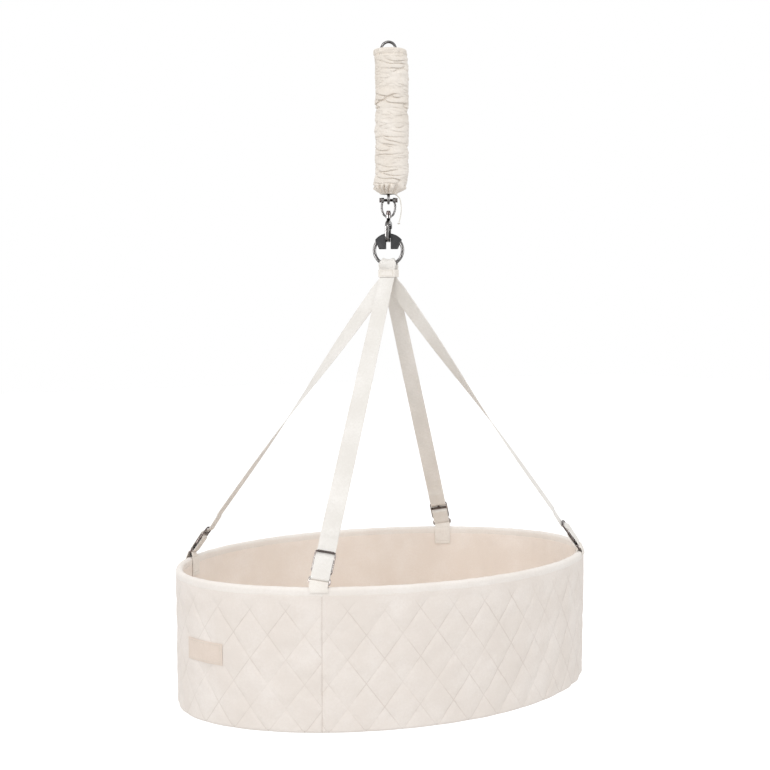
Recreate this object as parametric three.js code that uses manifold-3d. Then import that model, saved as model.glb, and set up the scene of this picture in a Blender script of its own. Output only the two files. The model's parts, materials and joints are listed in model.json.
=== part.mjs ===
// Hanging baby cradle: an oval quilted basket on four webbing straps, a steel ring, a swivel snap
// hook and a covered extension spring. Millimetres, +Z up, +X along the basket's length.
// The origin is the inside top of the upper hook, the point that a ceiling hook carries.
import * as THREE from 'three';
import { mergeVertices } from 'three/addons/utils/BufferGeometryUtils.js';
import Module from 'manifold-3d';

const wasm = await Module();
wasm.setup();

// Clearances shared by the whole object
const seatGap = 0.3;
const clothGap = 0.9;
const barGap = 0.9;
const layerGap = 0.4;
const cutOverrun = 2;

// Turn of the hanging hardware about the vertical, degrees from the view along +Y
const hangerTurn = -35;
const ringTurn = -47;
const collarTurn = -63;

// Upper hook, spring and lower eye
const hookWire = 5;
const hookInnerRadius = 10;
const hookTipDrop = 12;
const hookShankLength = 26;
const hookHeadRadius = 7.5;
const hookHeadHeight = 5;
const hookHeadDepth = 12.9;
const springWire = 4;
const springOuterDiameter = 38;
const springLength = 210;
const springTurns = 30;
const springConeTurns = 3;
const springEyeRadius = 5.5;
const eyeShankLength = 18.6;

// Gathered cotton sleeve over the spring
const coverRadius = 29;
const coverCloth = 1.4;
const coverTopDrop = 12;
const coverBand = 10;
const coverFoldDepth = 2.6;
const coverFoldSpacing = 13;
const coverHemRadius = 12.2;
const coverTaperLength = 15;
const drawcordDiameter = 1.8;
const drawcordKnotRadius = 2.3;

// Shackle and swivel
const pinRadius = 2.5;
const pinHeadRadius = 4;
const pinHeadLength = 3;
const pinRunningGap = 0.3;
const shackleWire = 4;
const shackleOuterWidth = 27.5;
const shackleDrop = 29;
const earRadius = 4.4;
const earThickness = 5;
const swivelBossRadius = 5.2;
const swivelBossHeight = 5.6;
const swivelStemRadius = 2.2;
const swivelHeadRadius = 4.4;
const swivelHeadHeight = 7.4;
const swivelNeckRadius = 3.4;
const swivelNeckLength = 3.5;

// Snap hook: an opening with the ring's wire at its foot
const hookPlate = 6.5;
const hookOpeningHalf = 11;
const hookLimb = 4.6;
const hookFoot = 7.5;
const hookOpeningHeight = 20.5;
const hookShoulder = 6.7;
const hookNoseHeight = 2.5;
const gateThickness = 3.4;
const gatePinRadius = 1.1;
const gateEarRadius = 3;
const gateLap = 3.2;

// Ring and its saddle
const ringOuterDiameter = 57;
const ringWire = 6;
const saddleThickness = 10.5;
const saddleBridge = 1.4;
const saddleHalfAngle = 52;
const saddleChordRise = 2;
const saddleNotch = 10;

// Webbing
const webbingWidth = 30;
const webbingThickness = 1.2;
const collarHeight = 13;
const collarDrop = 9;
const strapShortEndLength = 9;

// Strap slide and rim ring
const slideBar = 3;
const slideSideBar = 1.9;
const slideUpperSpacing = 13;
const slideLowerSpacing = 24;
const slideCornerRadius = 5;
const slotCornerRadius = 0.6;
const toothHalfWidth = 5.5;
const toothHeight = 11;
const toothThickness = 1.2;
const toothLean = 3.8;
const hardwareBevel = 0.5;
const rimRingBar = 3.4;
const rimRingSideBar = 2.6;
const rimRingSpacing = 8.2;
const rimRingRise = 6;
const slideAboveRimRing = 8.8;
const strapEndFoldDrop = 8;

// Basket
const ringToRim = 541;
const basketLength = 800;
const basketWidth = 570;
const basketHeight = 232;
const outlinePowerShare = 1.93;
const wallLeanWidth = 2;
const panelThickness = 5;
const liningThickness = 3;
const bindingCloth = 1.2;
const bindingDepth = 14;
const rimHoopDiameter = 4;
const bottomEdgeRadius = 5;
const floorThickness = 4;
const boardThickness = 6;
const strapStationShares = { front_left: 0.344, rear_left: 0.384, front_right: 0.384, rear_right: 0.344 };
const tabOuterLeg = 8;
const tabInnerLeg = 34;
const mattressThickness = 38;
const mattressCrown = 9;
const mattressGap = 4;

// Facets
const outlineStations = 56;
const ringSegments = 40;
const wallRadiusStep = 0.03;

// Heights worked out from the sizes above, downwards from the hook's seat
const hookMeanRadius = hookInnerRadius + hookWire / 2;
const hookCentreZ = -hookInnerRadius;
const springTopZ = hookCentreZ - hookShankLength;
const springBottomZ = springTopZ - springLength;
const eyeMeanRadius = springEyeRadius + hookWire / 2;
const eyeCentreZ = springBottomZ - eyeShankLength - eyeMeanRadius;
const pinZ = eyeCentreZ - springEyeRadius + pinRadius + seatGap;
const bowBottomZ = pinZ - shackleDrop;
const bossTopZ = bowBottomZ + swivelBossHeight / 2;
const bossFootZ = bowBottomZ - swivelBossHeight / 2;
const ringMeanRadius = (ringOuterDiameter - ringWire) / 2;
const wireRadius = ringWire / 2;
const ringTopWireZ = bossFootZ - seatGap - swivelNeckLength - hookShoulder - hookOpeningHeight;
const ringCentreZ = ringTopWireZ - ringMeanRadius;
const ringFootWireZ = ringCentreZ - ringMeanRadius;
const collarTopZ = ringFootWireZ - collarDrop;
const collarFootZ = collarTopZ - collarHeight;
const rimZ = ringCentreZ - ringToRim;
const baseZ = rimZ - basketHeight;
const layerSpacing = webbingThickness + layerGap;
const bindingHalfWidth = (panelThickness + seatGap + liningThickness) / 2 + seatGap + bindingCloth;
const panelOutside = bindingCloth + seatGap;
const liningInside = panelOutside + panelThickness + seatGap + liningThickness;
const hoopZ = rimZ - bindingCloth - clothGap - rimHoopDiameter / 2;
const panelTopZ = hoopZ - rimHoopDiameter / 2 - seatGap;
const gatePivotY = hookOpeningHalf + hookLimb / 2;
const gatePivotZ = ringTopWireZ + hookOpeningHeight - hookLimb;
const gateLength = gatePivotZ - ringTopWireZ - hookNoseHeight;
const degree = Math.PI / 180;
const vec = (x, y, z) => new THREE.Vector3(x, y, z);
const mix = (a, b, share) => a + (b - a) * share;
const facing = (turn) => vec(Math.sin(turn * degree), -Math.cos(turn * degree), 0);
const across = (turn) => vec(Math.cos(turn * degree), Math.sin(turn * degree), 0);

function smoothShare(value, low, high) {
  const share = Math.min(1, Math.max(0, (value - low) / (high - low)));
  return share * share * (3 - 2 * share);
}

// Finishes
const finish = (color, roughness, metalness) => new THREE.MeshStandardMaterial({ color, roughness, metalness });
const finishes = {
  steel: () => finish(0x6f6f70, 0.3, 0.9),
  darkSteel: () => finish(0x3c3a3a, 0.35, 0.9),
  spring: () => finish(0x55565a, 0.4, 0.9),
  cotton: () => finish(0xe7e1da, 0.9, 0),
  webbing: () => finish(0xf0efec, 0.85, 0),
  lining: () => finish(0xe2d2c2, 0.9, 0),
  saddle: () => finish(0x6e6f70, 0.6, 0),
  board: () => finish(0xc9a97c, 0.7, 0),
  cord: () => finish(0xf2f0ea, 0.9, 0),
};

const cradle = new THREE.Group();

function addPiece(name, geometry, material, parent = cradle) {
  const mesh = new THREE.Mesh(geometry, material);
  mesh.name = name;
  geometry.computeVertexNormals();
  parent.add(mesh);
  return mesh;
}

// A solid lofted through rings of points; open lofts get end caps, and the faces end up outwards
function loft(rings, closed = false) {
  const count = rings[0].length;
  const positions = rings.flat().flatMap((point) => [point.x, point.y, point.z]);
  const faces = [];
  const steps = closed ? rings.length : rings.length - 1;
  for (let step = 0; step < steps; step += 1) {
    const here = step * count;
    const next = ((step + 1) % rings.length) * count;
    for (let side = 0; side < count; side += 1) {
      const beside = (side + 1) % count;
      faces.push([here + side, here + beside, next + beside], [here + side, next + beside, next + side]);
    }
  }
  if (!closed) {
    for (const [ring, flip] of [[0, true], [rings.length - 1, false]]) {
      const middle = rings[ring].reduce((sum, point) => sum.add(point), vec(0, 0, 0)).divideScalar(count);
      const hub = positions.length / 3;
      positions.push(middle.x, middle.y, middle.z);
      for (let side = 0; side < count; side += 1) {
        const edge = [ring * count + side, ring * count + (side + 1) % count];
        faces.push(flip ? [hub, edge[1], edge[0]] : [hub, edge[0], edge[1]]);
      }
    }
  }
  return facingOut(positions, faces);
}

function facingOut(positions, faces) {
  const corner = (index) => vec(positions[3 * index], positions[3 * index + 1], positions[3 * index + 2]);
  let volume = 0;
  for (const [a, b, c] of faces) volume += corner(a).dot(corner(b).cross(corner(c)));
  const geometry = new THREE.BufferGeometry();
  geometry.setAttribute('position', new THREE.Float32BufferAttribute(positions, 3));
  geometry.setIndex(faces.flatMap((face) => (volume > 0 ? face : [face[0], face[2], face[1]])));
  return geometry;
}

// Boolean helpers
function toSolid(geometry) {
  const bare = geometry.clone();
  bare.deleteAttribute('normal');
  bare.deleteAttribute('uv');
  const merged = mergeVertices(bare, 1e-4);
  const vertProperties = new Float32Array(merged.attributes.position.array);
  const triVerts = new Uint32Array(merged.index.array);
  return new wasm.Manifold(new wasm.Mesh({ numProp: 3, vertProperties, triVerts }));
}

function fromSolid(solid) {
  const { vertProperties, triVerts } = solid.getMesh();
  const geometry = new THREE.BufferGeometry();
  geometry.setAttribute('position', new THREE.Float32BufferAttribute(vertProperties, 3));
  geometry.setIndex([...triVerts]);
  return geometry;
}

const joined = (...geometries) => fromSolid(geometries.map(toSolid).reduce((sum, solid) => sum.add(solid)));
const cut = (body, ...tools) => fromSolid(tools.map(toSolid).reduce((rest, tool) => rest.subtract(tool), toSolid(body)));

function place(geometry, matrix) {
  geometry.applyMatrix4(matrix);
  return geometry;
}

const movedTo = (x, y, z) => new THREE.Matrix4().makeTranslation(x, y, z);

// A round bar along a curve
function roundBar(curve, radius, steps, sides = 8) {
  const section = new THREE.Shape();
  for (let side = 0; side < sides; side += 1) {
    const angle = (side + 0.5) * 2 * Math.PI / sides;
    section[side ? 'lineTo' : 'moveTo'](radius * Math.cos(angle), radius * Math.sin(angle));
  }
  section.closePath();
  return new THREE.ExtrudeGeometry(section, { steps, extrudePath: curve, bevelEnabled: false });
}

// An upright cylinder between two heights
function upright(radius, foot, top, sides = 20) {
  const geometry = new THREE.CylinderGeometry(radius, radius, top - foot, sides);
  geometry.rotateX(Math.PI / 2);
  return place(geometry, movedTo(0, 0, (top + foot) / 2));
}

// A cylinder along X between two places
function crossBar(radius, start, end, z, sides = 16) {
  const geometry = new THREE.CylinderGeometry(radius, radius, end - start, sides);
  geometry.rotateZ(Math.PI / 2);
  return place(geometry, movedTo((start + end) / 2, 0, z));
}

// The hanging hardware is modelled facing -Y and turned into place about the vertical
function turnedGroup(turn) {
  const group = new THREE.Group();
  group.rotation.z = turn * degree;
  cradle.add(group);
  return group;
}

const hangerGroup = turnedGroup(hangerTurn);
const swivelGroup = turnedGroup(ringTurn);

// Upper hook: an open crook over a shank whose head is caught in the spring's coned end
function upperHook() {
  const shankTop = hookCentreZ - hookMeanRadius;
  const path = new THREE.CatmullRomCurve3([
    vec(0, 0, springTopZ - hookHeadDepth),
    vec(0, 0, springTopZ + hookWire),
    vec(hookMeanRadius / 4, 0, shankTop - hookWire / 4),
    vec(hookMeanRadius * 0.78, 0, mix(hookCentreZ, shankTop, 0.6)),
    ...arcPoints(hookMeanRadius, hookCentreZ, 0, 180, 8),
    vec(-hookMeanRadius, 0, hookCentreZ - hookTipDrop / 2),
    vec(-hookMeanRadius * 0.9, 0, hookCentreZ - hookTipDrop),
  ], false, 'centripetal');
  const head = upright(hookHeadRadius, springTopZ - hookHeadDepth - hookHeadHeight, springTopZ - hookHeadDepth);
  addPiece('upper_hook', joined(roundBar(path, hookWire / 2, 30), head), finishes.darkSteel(), hangerGroup);
}

function arcPoints(radius, centreZ, from, to, count) {
  const points = [];
  for (let step = 0; step <= count; step += 1) {
    const angle = mix(from, to, step / count) * degree;
    points.push(vec(radius * Math.cos(angle), 0, centreZ + radius * Math.sin(angle)));
  }
  return points;
}

// Extension spring: one unbroken wire, its ends coned in to hold the two headed hooks
function springCoil() {
  const meanRadius = (springOuterDiameter - springWire) / 2;
  const coneRadius = hookWire / 2 + springWire / 2 + 1.5 * seatGap;
  const stepsPerTurn = 8;
  const pathLength = springLength - springWire;
  const points = [];
  for (let step = 0; step <= springTurns * stepsPerTurn; step += 1) {
    const turn = step / stepsPerTurn;
    const fromEnd = Math.min(turn, springTurns - turn);
    const radius = mix(coneRadius, meanRadius, smoothShare(fromEnd, 0, springConeTurns));
    const angle = turn * 2 * Math.PI;
    const z = springTopZ - springWire / 2 - pathLength * turn / springTurns;
    points.push(vec(radius * Math.cos(angle), radius * Math.sin(angle), z));
  }
  points.unshift(straightStub(points[1], points[0], springWire));
  points.push(straightStub(points.at(-2), points.at(-1), springWire));
  const gap = leastSelfGap(points, stepsPerTurn, springWire);
  console.log(`spring_coil least gap to itself ${gap.toFixed(2)} mm`);
  const rings = points.map((point, index) => {
    const ahead = points[Math.min(index + 1, points.length - 1)];
    const behind = points[Math.max(index - 1, 0)];
    const along = ahead.clone().sub(behind).normalize();
    const out = vec(point.x, point.y, 0).addScaledVector(along, -vec(point.x, point.y, 0).dot(along)).normalize();
    return sectionRing(point, out, along.clone().cross(out), springWire / 2, 5);
  });
  addPiece('spring_coil', loft(rings), finishes.spring());
}

function straightStub(before, end, length) {
  return end.clone().addScaledVector(end.clone().sub(before).normalize(), length);
}

function sectionRing(centre, first, second, radius, sides) {
  const ring = [];
  for (let side = 0; side < sides; side += 1) {
    const angle = side * 2 * Math.PI / sides;
    const offset = first.clone().multiplyScalar(radius * Math.cos(angle));
    ring.push(centre.clone().add(offset.addScaledVector(second, radius * Math.sin(angle))));
  }
  return ring;
}

function leastSelfGap(points, stepsPerTurn, diameter) {
  let least = Infinity;
  const near = Math.round(stepsPerTurn * 0.6);
  points.forEach((point, index) => {
    for (let other = index + near; other < Math.min(points.length, index + 3 * stepsPerTurn); other += 1) {
      least = Math.min(least, point.distanceTo(points[other]));
    }
  });
  return least - diameter;
}

// Lower eye: a headed shank from the spring's lower cone down to a closed loop for the shackle pin
function lowerEye() {
  const loop = new THREE.TorusGeometry(eyeMeanRadius, hookWire / 2, 8, 20);
  loop.rotateY(Math.PI / 2);
  place(loop, movedTo(0, 0, eyeCentreZ));
  const shankFoot = eyeCentreZ + eyeMeanRadius;
  const shank = upright(hookWire / 2, shankFoot, springBottomZ + hookHeadDepth);
  const headFoot = springBottomZ + hookHeadDepth;
  const head = upright(hookHeadRadius, headFoot, headFoot + hookHeadHeight);
  addPiece('lower_eye', joined(loop, shank, head), finishes.steel(), hangerGroup);
}

// Gathered sleeve: shallow rings of folds that wander round the sleeve, a flat top band, a drawn hem
function springCover() {
  const topZ = hookCentreZ + hookInnerRadius - coverTopDrop;
  const hemZ = eyeCentreZ + eyeMeanRadius;
  const sides = 22;
  const rows = 28;
  const foldedRadius = (z, angle) => {
    const inBand = smoothShare(z, topZ - coverBand, topZ - coverBand / 2);
    const wander = Math.sin(angle * 2 + z / coverFoldSpacing) * coverFoldSpacing / 4;
    const fold = Math.cos((z + wander) * 2 * Math.PI / coverFoldSpacing);
    const drawn = smoothShare(hemZ + coverTaperLength - z, 0, coverTaperLength);
    const folded = coverRadius + (1 - inBand) * coverFoldDepth / 2 * fold;
    return mix(folded, coverHemRadius + coverCloth, drawn);
  };
  const mouthRadius = hookMeanRadius + hookWire / 2 + seatGap;
  const ringAt = (z, radiusAt) => {
    const ring = [];
    for (let side = 0; side < sides; side += 1) {
      const angle = side * 2 * Math.PI / sides;
      const radius = radiusAt(angle);
      ring.push(vec(radius * Math.cos(angle), radius * Math.sin(angle), z));
    }
    return ring;
  };
  const rings = [ringAt(topZ, () => mouthRadius), ringAt(topZ, () => coverRadius - coverCloth)];
  for (let row = 0; row <= rows; row += 1) {
    const z = mix(topZ - coverCloth, hemZ, row / rows);
    rings.push(ringAt(z, (angle) => foldedRadius(z, angle)));
  }
  const linedRadius = coverRadius - coverFoldDepth / 2 - coverCloth;
  rings.push(ringAt(hemZ, () => coverHemRadius));
  rings.push(ringAt(hemZ + coverTaperLength, () => linedRadius));
  rings.push(ringAt(topZ - coverCloth, () => linedRadius));
  rings.push(ringAt(topZ - coverCloth, () => mouthRadius));
  addPiece('spring_cover', loft(rings, true), finishes.cotton(), hangerGroup);
}

// Loose end of the cover's drawcord: it leaves the hem, hangs beside the shackle and ends in a knot
function coverDrawcord() {
  const hemZ = eyeCentreZ + eyeMeanRadius;
  const route = [[12.6, 0, -1.4], [15.6, -0.4, -2.8], [19.4, -0.8, -7], [21.6, -1, -14], [22.6, -1, -23],
    [22.4, -1, -32], [21, -0.6, -41], [18.8, 0, -49]].map(([x, y, z]) => vec(x, y, hemZ + z));
  const path = new THREE.CatmullRomCurve3(route, false, 'centripetal');
  addPiece('cover_drawcord', roundBar(path, drawcordDiameter / 2, 12), finishes.cord(), hangerGroup);
  const end = route.at(-1);
  const knot = new THREE.SphereGeometry(drawcordKnotRadius, 8, 6);
  place(knot, movedTo(end.x, end.y, end.z - drawcordKnotRadius - seatGap));
  addPiece('drawcord_knot', knot, finishes.cord(), hangerGroup);
}

// Shackle bow: a round bar bent to a U, forged ears at its ends and a bored boss at its foot
function shackleBow() {
  const half = (shackleOuterWidth - shackleWire) / 2;
  const path = new THREE.CatmullRomCurve3([
    vec(-half + shackleWire / 2, 0, pinZ + shackleWire / 4),
    vec(-half, 0, pinZ - shackleDrop * 0.3),
    vec(-half * 0.97, 0, pinZ - shackleDrop * 0.6),
    vec(-half * 0.6, 0, bowBottomZ + shackleWire / 2),
    vec(0, 0, bowBottomZ),
    vec(half * 0.6, 0, bowBottomZ + shackleWire / 2),
    vec(half * 0.97, 0, pinZ - shackleDrop * 0.6),
    vec(half, 0, pinZ - shackleDrop * 0.3),
    vec(half - shackleWire / 2, 0, pinZ + shackleWire / 4),
  ], false, 'centripetal');
  const boss = upright(swivelBossRadius, bossFootZ, bossTopZ);
  const earEnd = half + shackleWire / 4;
  const ears = [-1, 1].map((side) => {
    const faces = [side * earEnd, side * (earEnd - earThickness)].sort((a, b) => a - b);
    return crossBar(earRadius, faces[0], faces[1], pinZ, 20);
  });
  const solid = joined(roundBar(path, shackleWire / 2, 24), boss, ...ears);
  const pinBore = crossBar(pinRadius + pinRunningGap, -shackleOuterWidth, shackleOuterWidth, pinZ, 20);
  const stemBore = upright(swivelStemRadius + pinRunningGap, bossFootZ - cutOverrun, bossTopZ + cutOverrun);
  addPiece('shackle_bow', cut(solid, pinBore, stemBore), finishes.steel(), hangerGroup);
}

// Shackle pin with its round head, and the nut on its far end
function shacklePin() {
  const earEnd = (shackleOuterWidth - shackleWire) / 2 + shackleWire / 4;
  const shank = crossBar(pinRadius, -earEnd - seatGap - pinHeadLength / 2, earEnd + pinHeadLength, pinZ);
  const head = crossBar(pinHeadRadius, -earEnd - seatGap - pinHeadLength, -earEnd - seatGap, pinZ, 20);
  addPiece('shackle_pin', joined(shank, head), finishes.darkSteel(), hangerGroup);
  const nut = crossBar(pinHeadRadius, earEnd + seatGap, earEnd + seatGap + pinHeadLength, pinZ, 6);
  const bore = crossBar(pinRadius + pinRunningGap, earEnd - cutOverrun, earEnd + pinHeadLength + cutOverrun, pinZ);
  addPiece('shackle_nut', cut(nut, bore), finishes.darkSteel(), hangerGroup);
}

// Snap hook: a flat forged body round an opening, its nose below the gate, its neck up into the swivel
function snapHookBody() {
  const shoulderZ = ringTopWireZ + hookOpeningHeight;
  const footZ = ringTopWireZ - wireRadius - barGap;
  const outerHalf = hookOpeningHalf + hookLimb;
  const outline = new THREE.Shape();
  outline.moveTo(-swivelNeckRadius, shoulderZ + hookShoulder);
  outline.bezierCurveTo(-outerHalf, shoulderZ + hookShoulder / 2, -outerHalf, shoulderZ, -outerHalf, ringTopWireZ);
  outline.bezierCurveTo(-outerHalf, footZ - hookFoot * 0.6, -hookOpeningHalf / 2, footZ - hookFoot, 0, footZ - hookFoot);
  outline.bezierCurveTo(hookOpeningHalf / 2, footZ - hookFoot, outerHalf, footZ - hookFoot * 0.6, outerHalf, ringTopWireZ);
  outline.lineTo(outerHalf, shoulderZ);
  outline.bezierCurveTo(outerHalf, shoulderZ + hookShoulder / 2, outerHalf, shoulderZ + hookShoulder * 0.7,
    swivelNeckRadius, shoulderZ + hookShoulder);
  const opening = new THREE.Path();
  opening.moveTo(-hookOpeningHalf, ringTopWireZ + wireRadius);
  opening.bezierCurveTo(-hookOpeningHalf, footZ + hookFoot / 8, -hookOpeningHalf * 0.4, footZ, 0, footZ);
  opening.bezierCurveTo(hookOpeningHalf * 0.4, footZ, hookOpeningHalf, footZ + hookFoot / 8,
    hookOpeningHalf, ringTopWireZ + wireRadius);
  opening.lineTo(hookOpeningHalf, shoulderZ - hookLimb);
  opening.bezierCurveTo(hookOpeningHalf, shoulderZ, hookOpeningHalf / 2, shoulderZ, 0, shoulderZ);
  opening.bezierCurveTo(-hookOpeningHalf / 2, shoulderZ, -hookOpeningHalf, shoulderZ, -hookOpeningHalf,
    shoulderZ - hookLimb);
  outline.holes.push(opening);
  const plate = hookPlateSolid(outline);
  const gateSpace = new THREE.BoxGeometry(hookPlate + cutOverrun, hookLimb + 2 * cutOverrun, gateLength + gateLap);
  const gateMiddle = (gatePivotZ + gateEarRadius + seatGap + ringTopWireZ + hookNoseHeight) / 2;
  gateSpace.scale(1, 1, (gatePivotZ + gateEarRadius + seatGap - ringTopWireZ - hookNoseHeight) / (gateLength + gateLap));
  place(gateSpace, movedTo(0, hookOpeningHalf + hookLimb / 2 + seatGap, gateMiddle));
  const forkZ = gatePivotZ + gateEarRadius;
  const fork = forkCheeks(forkZ);
  const neckTop = bossTopZ + seatGap;
  const neck = upright(swivelNeckRadius, shoulderZ + hookShoulder - hookShoulder / 2, bossFootZ - seatGap);
  const stem = upright(swivelStemRadius, bossFootZ - seatGap - cutOverrun, neckTop + swivelHeadHeight / 2);
  let solid = toSolid(cut(plate, gateSpace));
  for (const extra of [...fork, neck, stem]) solid = solid.add(toSolid(extra));
  const pinBore = crossBar(gatePinRadius + seatGap, -hookPlate, hookPlate, gatePivotZ);
  place(pinBore, movedTo(0, gatePivotY, 0));
  addPiece('snap_hook_body', fromSolid(solid.subtract(toSolid(pinBore))), finishes.steel(), swivelGroup);
}

function hookPlateSolid(outline) {
  const depth = hookPlate - 2 * hardwareBevel;
  const geometry = new THREE.ExtrudeGeometry(outline, {
    depth, bevelThickness: hardwareBevel, bevelSize: hardwareBevel, bevelOffset: -hardwareBevel,
    bevelSegments: 1, curveSegments: 6,
  });
  // The outline's first axis becomes +Y and its second +Z, centred on X
  const basis = new THREE.Matrix4().makeBasis(vec(0, 1, 0), vec(0, 0, 1), vec(1, 0, 0));
  return place(place(geometry, basis), movedTo(-depth / 2, 0, 0));
}

// The two cheeks that carry the gate's pin
function forkCheeks() {
  const cheek = (hookPlate - gateThickness) / 2 - seatGap;
  const inner = gateThickness / 2 + seatGap;
  const height = ringTopWireZ + hookOpeningHeight - gatePivotZ + gateEarRadius + hookLimb / 2;
  return [-1, 1].map((side) => {
    const geometry = new THREE.BoxGeometry(cheek, 2 * gateEarRadius - seatGap, height);
    return place(geometry, movedTo(side * (inner + cheek / 2), gatePivotY, gatePivotZ - gateEarRadius + height / 2));
  });
}

// Swivel head, riveted over the stem above the boss
function swivelHead() {
  const foot = bossTopZ + seatGap;
  const bore = swivelStemRadius + pinRunningGap;
  const radiusShares = [0.85, 1, 0.9, 0.72];
  const heightShares = [0, 0.3, 0.65, 1];
  const sides = 18;
  const rings = [];
  for (let side = 0; side < sides; side += 1) {
    const out = facing(side * 360 / sides);
    const profile = radiusShares.map((share, index) => [share * swivelHeadRadius, heightShares[index]]);
    profile.push([bore, 1], [bore, 0]);
    rings.push(profile.map(([radius, share]) => out.clone().multiplyScalar(radius).setZ(foot + share * swivelHeadHeight)));
  }
  addPiece('swivel_head', loft(rings, true), finishes.darkSteel(), swivelGroup);
}

// Gate: a flat bar on its pin that closes against the nose
function hookGate() {
  const bar = new THREE.BoxGeometry(gateThickness, gateThickness, gateLength - seatGap);
  place(bar, movedTo(0, gatePivotY, gatePivotZ - gateLength / 2 + seatGap / 2));
  const ear = crossBar(gateEarRadius, -gateThickness / 2, gateThickness / 2, gatePivotZ, 20);
  place(ear, movedTo(0, gatePivotY, 0));
  const bore = crossBar(gatePinRadius + seatGap, -hookPlate, hookPlate, gatePivotZ);
  place(bore, movedTo(0, gatePivotY, 0));
  addPiece('hook_gate', cut(joined(bar, ear), bore), finishes.steel(), swivelGroup);
  const pin = crossBar(gatePinRadius, -hookPlate / 2, hookPlate / 2, gatePivotZ);
  addPiece('gate_pin', place(pin, movedTo(0, gatePivotY, 0)), finishes.darkSteel(), swivelGroup);
}

// Ring, seen face-on, with a moulded saddle over its upper half and a notch for the hook
function hangingRing() {
  const ring = new THREE.TorusGeometry(ringMeanRadius, wireRadius, 8, ringSegments);
  ring.rotateX(Math.PI / 2);
  addPiece('hanging_ring', place(ring, movedTo(0, 0, ringCentreZ)), finishes.steel(), swivelGroup);
}

function ringSaddle() {
  const outer = ringOuterDiameter / 2 + saddleBridge;
  const half = saddleHalfAngle * degree;
  const outline = new THREE.Shape();
  const chordHalf = Math.sin(half) * (ringMeanRadius - wireRadius) - saddleBridge;
  outline.moveTo(-chordHalf, saddleChordRise);
  outline.lineTo(chordHalf, saddleChordRise);
  outline.lineTo(Math.sin(half) * outer, Math.cos(half) * outer);
  outline.absarc(0, 0, outer, Math.PI / 2 - half, Math.PI / 2 + half, false);
  outline.closePath();
  const depth = saddleThickness - 2 * saddleBridge;
  const plate = new THREE.ExtrudeGeometry(outline, {
    depth, bevelThickness: saddleBridge, bevelSize: saddleBridge, bevelOffset: -saddleBridge,
    bevelSegments: 1, curveSegments: 12,
  });
  plate.rotateX(Math.PI / 2);
  place(plate, movedTo(0, depth / 2, ringCentreZ));
  const groove = new THREE.TorusGeometry(ringMeanRadius, wireRadius + seatGap, 10, ringSegments);
  groove.rotateX(Math.PI / 2);
  place(groove, movedTo(0, 0, ringCentreZ));
  const notchHeight = ringMeanRadius + cutOverrun;
  const notch = new THREE.BoxGeometry(saddleNotch, saddleThickness + cutOverrun, notchHeight);
  place(notch, movedTo(0, 0, ringTopWireZ - notchHeight / 2));
  addPiece('ring_saddle', cut(plate, groove, notch), finishes.saddle(), swivelGroup);
}

// Maps the flat stack of webbing on to the ring: above the collar it bends along the ring's wire
function overRing(n, w, h) {
  const bend = smoothShare(h, -collarDrop, 0);
  const reach = ringMeanRadius - h;
  const angle = w / ringMeanRadius;
  const sideways = mix(w, reach * Math.sin(angle), bend);
  const up = mix(h, ringMeanRadius - reach * Math.cos(angle), bend);
  const turn = mix(collarTurn, ringTurn, bend);
  const place3 = facing(turn).multiplyScalar(n).addScaledVector(across(turn), sideways);
  return place3.setZ(ringFootWireZ + up);
}

// A path that runs from a start to an end round circles, as a belt does; turn is +1 left, -1 right
function beltPath(start, wheels, end, arcSteps) {
  const stops = [{ x: start[0], y: start[1], r: 0, turn: 1 }, ...wheels, { x: end[0], y: end[1], r: 0, turn: 1 }];
  const tangents = [];
  for (let stop = 0; stop + 1 < stops.length; stop += 1) {
    const [from, to] = [stops[stop], stops[stop + 1]];
    const [dx, dy] = [to.x - from.x, to.y - from.y];
    const span = Math.hypot(dx, dy);
    const [fromSide, toSide] = [from.turn * from.r, to.turn * to.r];
    const heading = Math.atan2(dy, dx) + Math.asin((fromSide - toSide) / span);
    const right = [Math.sin(heading), -Math.cos(heading)];
    tangents.push([
      [from.x + right[0] * fromSide, from.y + right[1] * fromSide, heading],
      [to.x + right[0] * toSide, to.y + right[1] * toSide, heading],
    ]);
  }
  const points = [[...start, tangents[0][0][2]]];
  wheels.forEach((wheel, index) => {
    const arrive = tangents[index][1][2];
    let leave = tangents[index + 1][0][2];
    while (wheel.turn * (leave - arrive) < -1e-9) leave += wheel.turn * 2 * Math.PI;
    const steps = Math.max(1, Math.round(Math.abs(leave - arrive) / Math.PI * arcSteps));
    for (let step = 0; step <= steps; step += 1) {
      const heading = mix(arrive, leave, step / steps);
      const side = wheel.turn * wheel.r;
      points.push([wheel.x + Math.sin(heading) * side, wheel.y - Math.cos(heading) * side, heading]);
    }
  });
  points.push([...end, tangents.at(-1)[1][2]]);
  return points;
}

// One flat station of a ribbon: five points across each face
const acrossSteps = 4;

function stationRing(pointAt) {
  const ring = [];
  for (const face of [1, -1]) {
    for (let step = 0; step <= acrossSteps; step += 1) {
      const share = step / acrossSteps - 1 / 2;
      ring.push(pointAt(face * share * webbingWidth, face * webbingThickness / 2));
    }
  }
  return ring;
}

const flatStation = (centre, width, normal) => stationRing((w, t) => centre.clone()
  .addScaledVector(width, w).addScaledVector(normal, t));

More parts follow.
